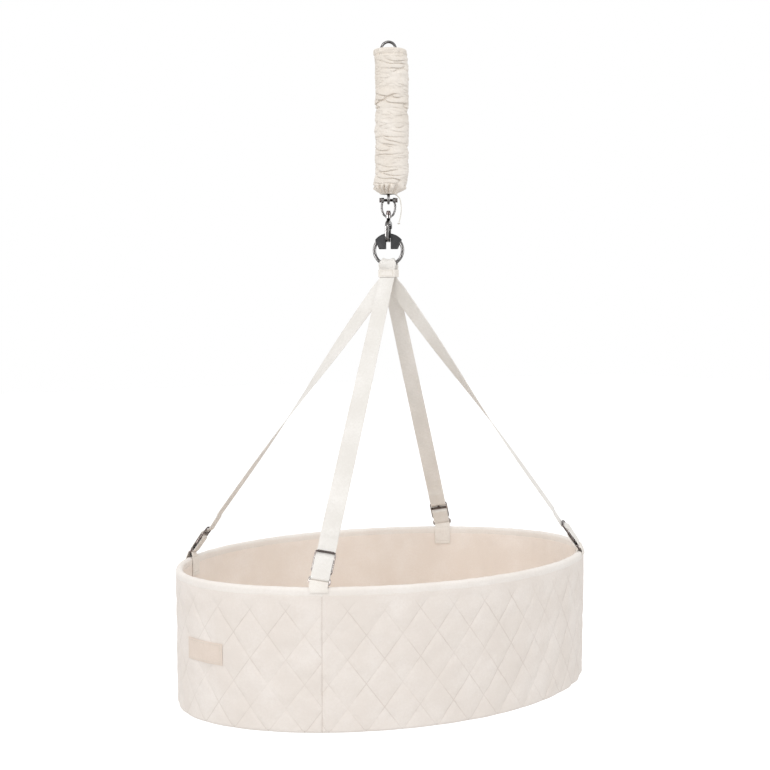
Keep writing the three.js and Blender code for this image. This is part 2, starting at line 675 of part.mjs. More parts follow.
// Where each strap meets the basket, and the frame of its slide and rim ring
function strapCorner(sideX, sideY, layer, stationShare) {
  const angle = Math.acos(Math.pow(2 * stationShare, outlinePowerShare / 2));
  const turned = { '1,1': angle, '-1,1': Math.PI - angle, '-1,-1': Math.PI + angle, '1,-1': -angle }[`${sideX},${sideY}`];
  const { point, out } = outlineAt(turned);
  const seat = point.clone().addScaledVector(out, -bindingHalfWidth).setZ(rimZ + rimRingRise);
  const beside = outlineAt(turned + wallRadiusStep);
  const wallRadius = beside.point.distanceTo(point) / beside.out.angleTo(out) - bindingHalfWidth;
  const exit = facing(collarTurn).multiplyScalar(layer * layerSpacing).setZ(collarFootZ);
  const up = exit.clone().sub(seat).normalize();
  const along = vec(-out.y, out.x, 0);
  const bar = along.clone().addScaledVector(up, -along.dot(up)).normalize();
  return { seat, exit, up, out, along, bar, wallRadius, normal: bar.clone().cross(up).normalize() };
}

const strapLayers = { front_left: 3.5, rear_left: 1.5, front_right: -0.5, rear_right: -2.5 };
const strapFolds = { front_left: 3.5, rear_right: 2.5, rear_left: 1.5, front_right: 0.5 };
const corners = {
  front_left: strapCorner(-1, -1, strapLayers.front_left, strapStationShares.front_left),
  rear_left: strapCorner(-1, 1, strapLayers.rear_left, strapStationShares.rear_left),
  front_right: strapCorner(1, -1, strapLayers.front_right, strapStationShares.front_right),
  rear_right: strapCorner(1, 1, strapLayers.rear_right, strapStationShares.rear_right),
};

// A strap: folded over the ring into the collar, down to its slide, round the rim ring and back
function strap(name) {
  const corner = corners[name];
  const side = Math.sign(strapLayers[name]);
  const fold = strapFolds[name];
  const rings = [...foldRings(side, fold), ...freeRings(corner, strapLayers[name]), ...slideRings(corner)];
  addPiece(`strap_${name}`, loft(rings), finishes.webbing());
}

function foldRings(side, fold) {
  const wrap = wireRadius + barGap + webbingThickness / 2 + (fold - 0.5) * layerSpacing;
  const leg = fold * layerSpacing;
  const shortEnd = [-side * leg, -collarDrop - strapShortEndLength];
  const shortTop = [-side * leg, -collarDrop + webbingThickness];
  const longTop = [side * leg, -collarDrop + webbingThickness];
  const belt = beltPath(shortTop, [{ x: 0, y: 0, r: wrap, turn: -side }], longTop, 8);
  const path = [[...shortEnd, Math.PI / 2], ...belt];
  return path.map(([n, h, heading]) => stationRing((w, t) => {
    const sideN = -Math.sin(heading) * t;
    const sideH = Math.cos(heading) * t;
    return overRing(n + sideN, w * side, h + sideH);
  }));
}

// Between the collar and the slide the webbing swings out and turns to its corner
function freeRings(corner, layer) {
  const width = across(collarTurn);
  const down = corner.up.clone().negate();
  const sideWidth = width.dot(corner.bar) > 0 ? corner.bar : corner.bar.clone().negate();
  const total = corner.exit.distanceTo(corner.seat);
  const side = Math.sign(layer);
  const shares = [0, 0.05, 0.13, 0.28, 0.5, 0.75];
  return shares.map((share) => {
    const centre = corner.exit.clone().addScaledVector(down, total * share);
    const turning = smoothShare(share, 0, 0.75);
    const wide = width.clone().lerp(sideWidth, turning);
    const along = vec(0, 0, -1).lerp(down, smoothShare(share, 0, 0.08));
    wide.addScaledVector(along, -wide.dot(along) / along.lengthSq()).normalize();
    return flatStation(centre, wide.multiplyScalar(side), wide.clone().cross(along).normalize().multiplyScalar(-1));
  });
}

function slideRings(corner) {
  return slidePath().map(([n, v, heading]) => {
    const centre = localPoint(corner, 0, v, n);
    const thick = corner.normal.clone().multiplyScalar(-Math.sin(heading)).addScaledVector(corner.up, Math.cos(heading));
    return flatStation(centre, corner.bar, thick);
  });
}

const localPoint = (corner, w, v, n) => corner.seat.clone()
  .addScaledVector(corner.bar, w).addScaledVector(corner.up, v).addScaledVector(corner.normal, n);

// Places of the bars along the strap, upwards from the rim ring's lower bar
const rimRingTop = rimRingSpacing;
const slideFoot = rimRingTop + slideAboveRimRing;
const slideMiddle = slideFoot + slideLowerSpacing;
const slideTop = slideMiddle + slideUpperSpacing;
const slotHalfWidth = webbingWidth / 2 + seatGap;

// Down past the slide's three bars, round the rim ring, and up again inside the slide, where the end
// turns out below the toothed bar and is gripped between that bar and the strap
function slidePath() {
  const overBar = slideBar / 2 + barGap + webbingThickness / 2;
  const wheels = [
    { x: 0, y: slideTop, r: overBar, turn: 1 },
    { x: 0, y: slideMiddle, r: overBar + layerSpacing, turn: -1 },
    { x: 0, y: rimRingTop, r: rimRingBar / 2 + barGap + webbingThickness / 2, turn: -1 },
    { x: 0, y: slideMiddle - strapEndFoldDrop, r: overBar, turn: -1 },
    { x: 0, y: slideMiddle, r: overBar, turn: 1 },
  ];
  const start = [-overBar / 2, slideTop + 2 * slideUpperSpacing];
  return beltPath(start, wheels, [clothGap, slideMiddle + overBar + clothGap], 4);
}

// Collar: a stitched band closed round the stack of strap layers
function collarBand() {
  const halfStack = 4 * layerSpacing - seatGap / 2;
  const inner = halfStack + clothGap;
  const outer = inner + webbingThickness;
  const innerWide = webbingWidth / 2 + clothGap;
  const outerWide = innerWide + webbingThickness;
  const rectangle = (path, n, w, corner) => {
    path.moveTo(-n + corner, -w);
    path.lineTo(n - corner, -w);
    path.quadraticCurveTo(n, -w, n, -w + corner);
    path.lineTo(n, w - corner);
    path.quadraticCurveTo(n, w, n - corner, w);
    path.lineTo(-n + corner, w);
    path.quadraticCurveTo(-n, w, -n, w - corner);
    path.lineTo(-n, -w + corner);
    path.quadraticCurveTo(-n, -w, -n + corner, -w);
    return path;
  };
  const outline = rectangle(new THREE.Shape(), outer, outerWide, webbingThickness);
  outline.holes.push(rectangle(new THREE.Path(), inner, innerWide, seatGap / 2));
  const band = new THREE.ExtrudeGeometry(outline, { depth: collarHeight, bevelEnabled: false, curveSegments: 3 });
  const basis = new THREE.Matrix4().makeBasis(facing(collarTurn), across(collarTurn), vec(0, 0, 1));
  place(band, basis);
  addPiece('collar_band', place(band, movedTo(0, 0, collarFootZ)), finishes.webbing());
}

// Flat cast hardware from an outline with holes, its edges bevelled
function castPlate(outline, thickness) {
  const depth = thickness - 2 * hardwareBevel;
  const geometry = new THREE.ExtrudeGeometry(outline, {
    depth, bevelThickness: hardwareBevel, bevelSize: hardwareBevel, bevelOffset: -hardwareBevel,
    bevelSegments: 1, curveSegments: 1,
  });
  return place(geometry, movedTo(0, 0, -depth / 2));
}

function roundedRectangle(path, halfWidth, foot, top, corner) {
  path.moveTo(-halfWidth + corner, foot);
  path.lineTo(halfWidth - corner, foot);
  path.absarc(halfWidth - corner, foot + corner, corner, -Math.PI / 2, 0, false);
  path.absarc(halfWidth - corner, top - corner, corner, 0, Math.PI / 2, false);
  path.absarc(-halfWidth + corner, top - corner, corner, Math.PI / 2, Math.PI, false);
  path.absarc(-halfWidth + corner, foot + corner, corner, Math.PI, 1.5 * Math.PI, false);
  return path;
}

function cornerMatrix(corner) {
  const matrix = new THREE.Matrix4().makeBasis(corner.bar, corner.up, corner.normal);
  return matrix.setPosition(corner.seat);
}

// Three-bar strap slide; a pointed tooth on its middle bar leans over the webbing from inside
function strapSlide(name) {
  const half = slotHalfWidth + slideSideBar;
  const bar = slideBar / 2;
  const outline = roundedRectangle(new THREE.Shape(), half, slideFoot - bar, slideTop + bar, slideCornerRadius);
  for (const [lower, upper] of [[slideFoot, slideMiddle], [slideMiddle, slideTop]]) {
    outline.holes.push(roundedRectangle(new THREE.Path(), slotHalfWidth, lower + bar, upper - bar, slotCornerRadius));
  }
  const tooth = new THREE.Shape();
  tooth.moveTo(-toothHalfWidth, 0);
  tooth.lineTo(toothHalfWidth, 0);
  tooth.lineTo(hardwareBevel, toothHeight);
  tooth.lineTo(-hardwareBevel, toothHeight);
  const toothPlate = new THREE.ExtrudeGeometry(tooth, { depth: toothThickness, bevelEnabled: false });
  toothPlate.rotateX(Math.atan2(toothLean, toothHeight) * -1);
  place(toothPlate, movedTo(0, slideMiddle - slideBar / 4, -slideBar / 2));
  const slide = addPiece(`strap_slide_${name}`, joined(castPlate(outline, slideBar), toothPlate), finishes.darkSteel());
  slide.applyMatrix4(cornerMatrix(corners[name]));
}

// Rectangular rim ring between the strap's bight and the basket tab
function rimRing(name) {
  const half = slotHalfWidth + rimRingSideBar;
  const bar = rimRingBar / 2;
  const outline = roundedRectangle(new THREE.Shape(), half, -bar, rimRingSpacing + bar, rimRingBar);
  outline.holes.push(roundedRectangle(new THREE.Path(), slotHalfWidth, bar, rimRingSpacing - bar, slotCornerRadius));
  const ring = addPiece(`rim_ring_${name}`, castPlate(outline, rimRingBar), finishes.darkSteel());
  ring.applyMatrix4(cornerMatrix(corners[name]));
}

// Webbing tab: up the outside of the rim, over the rim ring's lower bar and down the lining
function basketTab(name) {
  const corner = corners[name];
  const bindingHalf = bindingHalfWidth;
  const rimRound = bindingHalf + clothGap + webbingThickness / 2;
  const barRound = rimRingBar / 2 + barGap + webbingThickness / 2;
  const wheels = [
    { x: 0, y: -bindingHalf, r: rimRound, turn: 1 },
    { x: 0, y: rimRingRise, r: barRound, turn: 1 },
    { x: 0, y: -bindingHalf, r: rimRound, turn: 1 },
  ];
  const path = beltPath([rimRound, -tabOuterLeg], wheels, [-rimRound, -tabInnerLeg], 6);
  const foot = corner.seat.clone().setZ(rimZ);
  const rings = path.map(([n, z, heading]) => {
    const raised = smoothShare(z, -rimRingRise * 0.7, rimRingRise * 0.5);
    const width = corner.along.clone().lerp(corner.bar, raised).normalize();
    const centre = foot.clone().addScaledVector(corner.out, n).setZ(rimZ + z);
    centre.addScaledVector(corner.bar, -raised * centre.clone().sub(corner.seat).dot(corner.bar));
    const thick = corner.out.clone().multiplyScalar(-Math.sin(heading)).add(vec(0, 0, Math.cos(heading)));
    const curve = (1 - raised) / (2 * corner.wallRadius);
    return stationRing((w, t) => centre.clone().addScaledVector(width, w).addScaledVector(thick, t)
      .addScaledVector(corner.out, -w * w * curve));
  });
  addPiece(`basket_tab_${name}`, loft(rings), finishes.webbing());
}

// The basket's plan: a superellipse, its outward normal and its points moved in along that normal
function outlineAt(angle, halfLength = basketLength / 2, halfWidth = basketWidth / 2) {
  const power = 2 / outlinePowerShare;
  const [cosine, sine] = [Math.cos(angle), Math.sin(angle)];
  const x = halfLength * Math.sign(cosine) * Math.pow(Math.abs(cosine), power);
  const y = halfWidth * Math.sign(sine) * Math.pow(Math.abs(sine), power);
  const slopeX = Math.sign(x) * Math.pow(Math.abs(x / halfLength), outlinePowerShare - 1) / halfLength;
  const slopeY = Math.sign(y) * Math.pow(Math.abs(y / halfWidth), outlinePowerShare - 1) / halfWidth;
  return { point: vec(x, y, 0), out: vec(slopeX, slopeY, 0).normalize() };
}

// A band swept round the basket from a closed profile of [distance inside the outline, height]
function aroundBasket(profile) {
  const rings = [];
  for (let station = 0; station < outlineStations; station += 1) {
    const { point, out } = outlineAt((2 * station + 1) * Math.PI / outlineStations);
    rings.push(profile.map(([inside, z]) => {
      const lean = wallLeanWidth * (rimZ - z) / basketHeight;
      return point.clone().addScaledVector(out, -inside - lean).setZ(z);
    }));
  }
  return loft(rings, true);
}

function quiltedWall() {
  const outside = panelOutside;
  const inside = outside + panelThickness;
  const round = bottomEdgeRadius;
  addPiece('quilted_wall', aroundBasket([
    [outside, panelTopZ], [outside, baseZ + round],
    [outside + round * 0.3, baseZ + round * 0.3], [outside + round, baseZ],
    [inside + round * 0.3, baseZ], [inside + round * 0.3, baseZ + round],
    [inside, baseZ + round + liningThickness], [inside, panelTopZ],
  ]), finishes.cotton());
}

function wallLining() {
  const outside = panelOutside + panelThickness + seatGap;
  const inside = outside + liningThickness;
  const foot = baseZ + floorThickness + boardThickness + 2 * seatGap + bottomEdgeRadius;
  addPiece('wall_lining', aroundBasket([
    [outside, panelTopZ], [outside, foot], [inside, foot], [inside, panelTopZ],
  ]), finishes.lining());
}

// Binding: an inverted U of cloth over the rim hoop and the tops of both panels
function rimBinding() {
  const half = bindingHalfWidth;
  const centre = half;
  const crown = (radius, from, to, count) => {
    const points = [];
    for (let step = 0; step <= count; step += 1) {
      const angle = mix(from, to, step / count) * degree;
      points.push([centre - radius * Math.cos(angle), rimZ - half + radius * Math.sin(angle)]);
    }
    return points;
  };
  addPiece('rim_binding', aroundBasket([
    [0, rimZ - bindingDepth], ...crown(half, 0, 180, 5), [2 * half, rimZ - bindingDepth],
    [2 * half - bindingCloth, rimZ - bindingDepth], ...crown(half - bindingCloth, 180, 0, 4),
    [bindingCloth, rimZ - bindingDepth],
  ]), finishes.cotton());
}

function rimHoop() {
  const radius = rimHoopDiameter / 2;
  const profile = [];
  for (let side = 0; side < 5; side += 1) {
    const angle = (side + 0.5) * 2 * Math.PI / 5;
    profile.push([bindingHalfWidth + radius * Math.cos(angle), hoopZ + radius * Math.sin(angle)]);
  }
  addPiece('rim_hoop', aroundBasket(profile), finishes.steel());
}

// Flat oval panels that fill the bottom
function ovalPanel(inside, foot, top) {
  const shape = new THREE.Shape();
  for (let station = 0; station < outlineStations; station += 1) {
    const { point, out } = outlineAt((2 * station + 1) * Math.PI / outlineStations);
    const lean = wallLeanWidth * (rimZ - foot) / basketHeight;
    point.addScaledVector(out, -inside - lean);
    shape[station ? 'lineTo' : 'moveTo'](point.x, point.y);
  }
  shape.closePath();
  const geometry = new THREE.ExtrudeGeometry(shape, { depth: top - foot, bevelEnabled: false });
  return place(geometry, movedTo(0, 0, foot));
}

function basketFloor() {
  const inside = panelOutside + panelThickness + bottomEdgeRadius * 0.3 + clothGap;
  addPiece('floor_panel', ovalPanel(inside, baseZ, baseZ + floorThickness), finishes.cotton());
  const boardFoot = baseZ + floorThickness + seatGap;
  const boardInside = panelOutside + panelThickness + bottomEdgeRadius * 0.3 + clothGap;
  addPiece('base_board', ovalPanel(boardInside, boardFoot, boardFoot + boardThickness), finishes.board());
}

// Mattress: a flat foot, bulging sides and a crowned top
function mattress() {
  const foot = baseZ + floorThickness + boardThickness + 2 * seatGap;
  const edge = liningInside + wallLeanWidth + mattressGap;
  const stations = 40;
  const side = mattressThickness - mattressCrown;
  const rows = [[0.9, 0], [0.975, 0.02], [0.995, 0.2], [1, 0.5], [0.995, 0.8], [0.97, 1]];
  const rings = rows.map(([share, height]) => ovalRing(edge, share, foot + height * side, stations));
  for (const [share, crown] of [[0.9, 0.3], [0.72, 0.66], [0.45, 0.9], [0.15, 0.99]]) {
    rings.push(ovalRing(edge, share, foot + side + crown * mattressCrown, stations));
  }
  addPiece('mattress', loft(rings), finishes.lining());
}

function ovalRing(inside, share, z, stations) {
  const ring = [];
  for (let station = 0; station < stations; station += 1) {
    const { point, out } = outlineAt((2 * station + 1) * Math.PI / stations);
    ring.push(point.addScaledVector(out, -inside).multiplyScalar(share).setZ(z));
  }
  return ring;
}

upperHook();
springCoil();
lowerEye();
springCover();
coverDrawcord();
shackleBow();
shacklePin();
snapHookBody();
swivelHead();
hookGate();
hangingRing();
ringSaddle();
collarBand();
for (const name of Object.keys(corners)) {
  strap(name);
  strapSlide(name);
  rimRing(name);
  basketTab(name);
}
quiltedWall();
wallLining();
rimBinding();
rimHoop();
basketFloor();
mattress();

export default cradle;
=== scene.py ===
"""Hanging baby cradle, dressed for rendering, in metres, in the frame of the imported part.

The origin is the inside top of the upper hook. +Z is up, +X runs along the basket and +Y to its rear.
"""
from __future__ import annotations

import json
import logging
import math
from dataclasses import dataclass, field
from enum import Enum
from functools import cached_property

import bpy
import numpy as np
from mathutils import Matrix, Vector

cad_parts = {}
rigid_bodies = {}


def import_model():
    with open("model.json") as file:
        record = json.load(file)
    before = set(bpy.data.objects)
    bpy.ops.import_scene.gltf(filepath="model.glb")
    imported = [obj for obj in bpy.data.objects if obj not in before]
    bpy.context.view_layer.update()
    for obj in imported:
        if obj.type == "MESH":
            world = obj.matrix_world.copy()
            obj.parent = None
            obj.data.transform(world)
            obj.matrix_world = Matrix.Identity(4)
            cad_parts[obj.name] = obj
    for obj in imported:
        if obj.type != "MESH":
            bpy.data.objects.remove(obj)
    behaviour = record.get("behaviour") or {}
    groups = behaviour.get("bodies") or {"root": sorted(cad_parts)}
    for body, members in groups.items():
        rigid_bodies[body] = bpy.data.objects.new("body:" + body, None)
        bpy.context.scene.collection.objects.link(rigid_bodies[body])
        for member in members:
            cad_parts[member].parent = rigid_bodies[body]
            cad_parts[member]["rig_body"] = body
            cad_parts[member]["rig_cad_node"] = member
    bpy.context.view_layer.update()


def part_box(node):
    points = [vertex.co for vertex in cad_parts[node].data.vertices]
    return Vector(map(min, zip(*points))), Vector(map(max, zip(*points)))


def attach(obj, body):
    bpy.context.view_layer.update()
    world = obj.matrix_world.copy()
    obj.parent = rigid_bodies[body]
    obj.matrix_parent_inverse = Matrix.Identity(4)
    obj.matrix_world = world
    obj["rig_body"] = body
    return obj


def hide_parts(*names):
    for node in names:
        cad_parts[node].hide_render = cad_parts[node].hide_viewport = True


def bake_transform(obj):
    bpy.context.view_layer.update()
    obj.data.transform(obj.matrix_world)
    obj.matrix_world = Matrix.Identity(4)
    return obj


LOG = logging.getLogger("cradle")
Array = np.ndarray
Piece = bpy.types.Object
UP = np.array((0.0, 0.0, 1.0))
MM = 0.001
CORNER_NAMES = ("front_left", "rear_left", "front_right", "rear_right")


# Small sums

def unit(vector: Array) -> Array:
    """Returns the vector, or each row of vectors, at length one."""
    return vector / np.linalg.norm(vector, axis=-1, keepdims=True)


def mix(low: Array, high: Array, share: Array) -> Array:
    """Returns the value that lies a share of the way from low to high."""
    return low + (high - low) * share


def smooth_share(value: Array, low: float, high: float) -> Array:
    """Returns 0 below low, 1 above high and a smooth rise between them."""
    share = np.clip((value - low) / (high - low), 0.0, 1.0)
    return share * share * (3.0 - 2.0 * share)


def facing(turn: float) -> Array:
    """Returns the level direction that faces -Y once it is turned by some degrees about Z."""
    angle = math.radians(turn)
    return np.array((math.sin(angle), -math.cos(angle), 0.0))


def across(turn: float) -> Array:
    """Returns the level direction that runs along X once it is turned by some degrees about Z."""
    angle = math.radians(turn)
    return np.array((math.cos(angle), math.sin(angle), 0.0))


def crossing_waves(points: Array, length: float, seed: int, waves: int = 14) -> Array:
    """Returns a smooth random relief from about -1 to 1, made of waves that cross in space.

    Args:
        points: Places in metres, one a row.
        length: Typical wave length in metres.
        seed: Seed of the random directions and phases.
        waves: Number of waves.

    Returns:
        One value for each point.
    """
    draw = np.random.default_rng(seed)
    directions = unit(draw.normal(size=(waves, 3)))
    lengths = length * draw.uniform(0.7, 1.6, waves)
    phases = draw.uniform(0.0, 2.0 * math.pi, waves)
    turns = points @ (directions / lengths[:, None]).T * 2.0 * math.pi + phases
    return np.sin(turns).sum(axis=-1) / math.sqrt(waves)


@dataclass(frozen=True)
class SoftWaves:
    """The random relief of slack cloth: its wave length, height and seed, and its squeeze in height."""

    length: float
    height: float
    seed: int
    squeeze: float = 1.0

    def on(self, lattice: Array) -> Array:
        """Returns the relief at each point of a lattice."""
        points = lattice.reshape(-1, 3) * (1.0, 1.0, self.squeeze)
        return crossing_waves(points, self.length, self.seed).reshape(lattice.shape[:-1]) * self.height


# Mesh work

def select_only(piece: Piece) -> None:
    """Deselects everything and makes one piece selected and active.

    Args:
        piece: The piece to select.
    """
    bpy.ops.object.select_all(action="DESELECT")
    piece.select_set(True)
    bpy.context.view_layer.objects.active = piece


def points_of(piece: Piece) -> Array:
    """Reads the points of a piece's mesh.

    Args:
        piece: The piece.

    Returns:
        One point a row.
    """
    flat = np.empty(len(piece.data.vertices) * 3)
    piece.data.vertices.foreach_get("co", flat)
    return flat.reshape(-1, 3)


def place_points(piece: Piece, points: Array) -> None:
    """Moves the points of a piece's mesh."""
    piece.data.vertices.foreach_set("co", points.ravel())
    piece.data.update()


def skin(name: str, lattice: Array, welded: bool = False, cloth: tuple[Array, Array] | None = None) -> Piece:
    """Adds a flat grid and lays its points on a lattice, with a cloth map in real metres.

    Args:
        name: Name of the new piece.
        lattice: Points as rows, columns and three coordinates.
        welded: True where edges of the lattice meet and are to be joined.
        cloth: Distances across the columns and down the rows, or None to measure them on the lattice.

    Returns:
        The new piece, whose place is in its mesh.
    """
    rows, columns = lattice.shape[:2]
    bpy.ops.object.select_all(action="DESELECT")
    bpy.ops.mesh.primitive_grid_add(x_subdivisions=columns - 1, y_subdivisions=rows - 1, size=1.0)
    piece = bpy.context.object
    piece.name = piece.data.name = name
    share = points_of(piece) + 0.5
    column = np.rint(share[:, 0] * (columns - 1)).astype(int)
    row = np.rint(share[:, 1] * (rows - 1)).astype(int)
    place_points(piece, lattice[row, column])
    cloth_map(piece.data, *(cloth or (run_lengths(lattice, 1), run_lengths(lattice, 0))))
    if welded:
        close_seams(piece)
    return piece


def run_lengths(lattice: Array, axis: int) -> Array:
    """Returns the real distance along one axis of a lattice, averaged over the other."""
    steps = np.linalg.norm(np.diff(lattice, axis=axis), axis=2).mean(axis=1 - axis)
    return np.concatenate(((0.0,), np.cumsum(steps)))


def cloth_map(mesh: bpy.types.Mesh, widths: Array, lengths: Array) -> None:
    """Turns a grid's own map from shares into metres of cloth.

    Args:
        mesh: The grid's mesh.
        widths: Distance of each column from the first.
        lengths: Distance of each row from the first.
    """
    layer = mesh.uv_layers[0]
    layer.name = "cloth"
    shares = np.empty(len(mesh.loops) * 2)
    layer.data.foreach_get("uv", shares)
    metres = [np.interp(share, np.linspace(0.0, 1.0, len(run)), run)
              for share, run in zip(shares.reshape(-1, 2).T, (widths, lengths))]
    layer.data.foreach_set("uv", np.stack(metres, 1).ravel())


def close_seams(piece: Piece, reach: float = 0.01 * MM, turned_out: bool = True) -> None:
    """Joins points that lie on each other, and turns all faces outwards.

    Args:
        piece: The piece to close.
        reach: Points nearer than this are joined.
        turned_out: False to leave the faces as they are.
    """
    select_only(piece)
    bpy.ops.object.mode_set(mode="EDIT")
    bpy.ops.mesh.select_all(action="SELECT")
    bpy.ops.mesh.remove_doubles(threshold=reach)
    if turned_out:
        bpy.ops.mesh.normals_make_consistent(inside=False)
    bpy.ops.object.mode_set(mode="OBJECT")


def shaped_by(piece: Piece, kind: str, **settings: float | str | bool | int) -> Piece:
    """Adds one modifier to a piece, sets it and applies it.

    Args:
        piece: The piece to shape.
        kind: Blender's name of the modifier.
        settings: Properties of the modifier.

    Returns:
        The same piece.
    """
    select_only(piece)
    modifier = piece.modifiers.new(kind.title(), kind)
    for key, value in settings.items():
        setattr(modifier, key, value)
    bpy.ops.object.modifier_apply(modifier=modifier.name)
    return piece


def smooth(piece: Piece, edge_degrees: float = 40.0) -> Piece:
    """Shades a piece smooth, except over edges that are sharper than an angle.

    Args:
        piece: The piece to shade.
        edge_degrees: The angle.

    Returns:
        The same piece.
    """
    select_only(piece)
    bpy.ops.object.shade_smooth_by_angle(angle=math.radians(edge_degrees))
    return piece


def thickened(piece: Piece, thickness: float) -> Piece:
    """Gives a skin the thickness of its cloth, half to each side."""
    return shaped_by(piece, "SOLIDIFY", thickness=thickness, offset=0.0, use_even_offset=False)


def rounded_edges(piece: Piece, width: float, edge_degrees: float = 60.0, segments: int = 2) -> Piece:
    """Rounds the edges that are sharper than an angle."""
    return shaped_by(piece, "BEVEL", width=width, segments=segments, limit_method="ANGLE",
                     angle_limit=math.radians(edge_degrees))


def joined(name: str, *pieces: Piece) -> Piece:
    """Joins pieces into one object.

    Args:
        name: Name of the joined piece.
        pieces: What is joined.

    Returns:
        The joined piece.
    """
    select_only(pieces[0])
    for piece in pieces:
        piece.select_set(True)
    bpy.ops.object.join()
    pieces[0].name = pieces[0].data.name = name
    return pieces[0]


def tube(name: str, path: Array, radius: float | Array, sides: int = 12, closed: bool = False) -> Piece:
    """Sweeps a round bar or cord along a path.

    Args:
        name: Name of the new piece.
        path: Points of the centre line.
        radius: Radius, or one radius for each point.
        sides: Number of sides of the section.
        closed: True where the path ends where it starts.

    Returns:
        A closed tube, its ends drawn in to a point unless the path is closed.
    """
    radii = np.broadcast_to(np.asarray(radius, float), (len(path),)).copy()
    if closed:
        path, radii = np.vstack((path, path[:1])), np.append(radii, radii[0])
    else:
        path = np.vstack((path[:1], path, path[-1:]))
        radii = np.concatenate(((0.0,), radii, (0.0,)))
    ahead = np.gradient(path, axis=0)
    if closed:
        ahead[0] = ahead[-1] = path[1] - path[-2]
    else:
        ahead[0], ahead[1] = path[2] - path[1], path[3] - path[1]
        ahead[-1], ahead[-2] = path[-2] - path[-3], path[-2] - path[-4]
    ahead = unit(ahead)
    first = carried_along(ahead, closed)
    second = np.cross(ahead, first)
    angles = np.linspace(0.0, 2.0 * math.pi, sides + 1)
    spokes = first[:, None] * np.cos(angles)[None, :, None] + second[:, None] * np.sin(angles)[None, :, None]
    return skin(name, path[:, None] + spokes * radii[:, None, None], welded=True)


def merged_copy(name: str, node: str, edge_degrees: float = 32.0) -> Piece:
    """Copies a node of the frame, joins its loose triangles and shades its rounded edges smooth.

    Args:
        name: Name of the new piece.
        node: Name of the node.
        edge_degrees: Edges sharper than this stay crisp.

    Returns:
        The new piece, which lies where the node lies.
    """
    piece = bpy.data.objects[node].copy()
    piece.data = piece.data.copy()
    piece.name = piece.data.name = name
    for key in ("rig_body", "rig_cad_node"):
        if key in piece:
            del piece[key]
    piece.parent = None
    bpy.context.collection.objects.link(piece)
    close_seams(piece, reach=0.002 * MM, turned_out=False)
    return smooth(piece, edge_degrees)


def carried_along(ahead: Array, closed: bool) -> Array:
    """Carries a direction along a path, square to it, with as little turn as possible.

    Args:
        ahead: The path's own direction at each point.
        closed: True where the path ends where it starts.

    Returns:
        One direction for each point.
    """
    start = np.cross(ahead[0], UP if abs(ahead[0][2]) < 0.9 else np.array((0.0, 1.0, 0.0)))
    sides = [unit(start)]
    for direction in ahead[1:]:
        side = sides[-1] - direction * np.dot(sides[-1], direction)
        sides.append(unit(side))
    result = np.array(sides)
    if closed:
        last = result[-1]
        twist = math.atan2(np.dot(np.cross(last, result[0]), ahead[0]), np.dot(last, result[0]))
        turns = np.linspace(0.0, twist, len(result))[:, None]
        result = result * np.cos(turns) + np.cross(ahead, result) * np.sin(turns)
    return result


def smooth_route(points: Array, steps: int) -> Array:
    """Draws a smooth curve through a few points (a Catmull-Rom spline).

    Args:
        points: Points that the curve goes through.
        steps: Number of points on it.

    Returns:
        Points of the curve.
    """
    ends = np.vstack((2 * points[0] - points[1], points, 2 * points[-1] - points[-2]))
    spots = np.linspace(0.0, len(points) - 1.0, steps)
    base = np.minimum(spots.astype(int), len(points) - 2)
    t = (spots - base)[:, None]
    a, b, c, d = (ends[base + step] for step in range(4))
    bend, ease = 2 * a - 5 * b + 4 * c - d, 3 * b - a - 3 * c + d
    return 0.5 * (2 * b + (c - a) * t + bend * t ** 2 + ease * t ** 3)


# Finishes

def hex_to_linear(colour: str) -> tuple[float, float, float, float]:
    """Turns an sRGB hex colour into linear values.

    Args:
        colour: The colour, as a hash sign and six digits.

    Returns:
        Linear red, green, blue and alpha.
    """
    parts = [int(colour[index:index + 2], 16) / 255.0 for index in (1, 3, 5)]
    linear = [part / 12.92 if part <= 0.04045 else ((part + 0.055) / 1.055) ** 2.4 for part in parts]
    return (*linear, 1.0)


def add_node(tree: bpy.types.NodeTree, kind: str, inputs: dict | None = None,
             **settings: object) -> bpy.types.Node:
    """Adds a node, sets it and links or fills its inputs.

    Args:
        tree: The node tree.
        kind: Blender's name of the node.
        inputs: What goes into each input, by its name or number: a socket or a node to link, a node
            by its first output, or else a value to set.
        settings: Properties of the node.

    Returns:
        The new node.
    """
    node = tree.nodes.new(kind)
    for key, value in settings.items():
        setattr(node, key, value)
    for key, value in (inputs or {}).items():
        if isinstance(value, bpy.types.Node):
            value = value.outputs[0]
        if isinstance(value, bpy.types.NodeSocket):
            tree.links.new(value, node.inputs[key])
        else:
            node.inputs[key].default_value = value
    return node


class ClothMap(Enum):
    """Coordinates that a cloth's threads follow."""

    SEWN = "UV"
    LYING = "Object"


@dataclass(frozen=True)
class Finish:
    """A surface finish: its common name and colour."""

    name: str
    colour: str

    def start(self) -> tuple[bpy.types.Material, bpy.types.NodeTree, bpy.types.Node]:
        """Returns a new material, its tree and its shader."""
        material = bpy.data.materials.new(self.name)
        material.use_nodes = True
        material.diffuse_color = hex_to_linear(self.colour)
        shader = material.node_tree.nodes["Principled BSDF"]
        return material, material.node_tree, shader


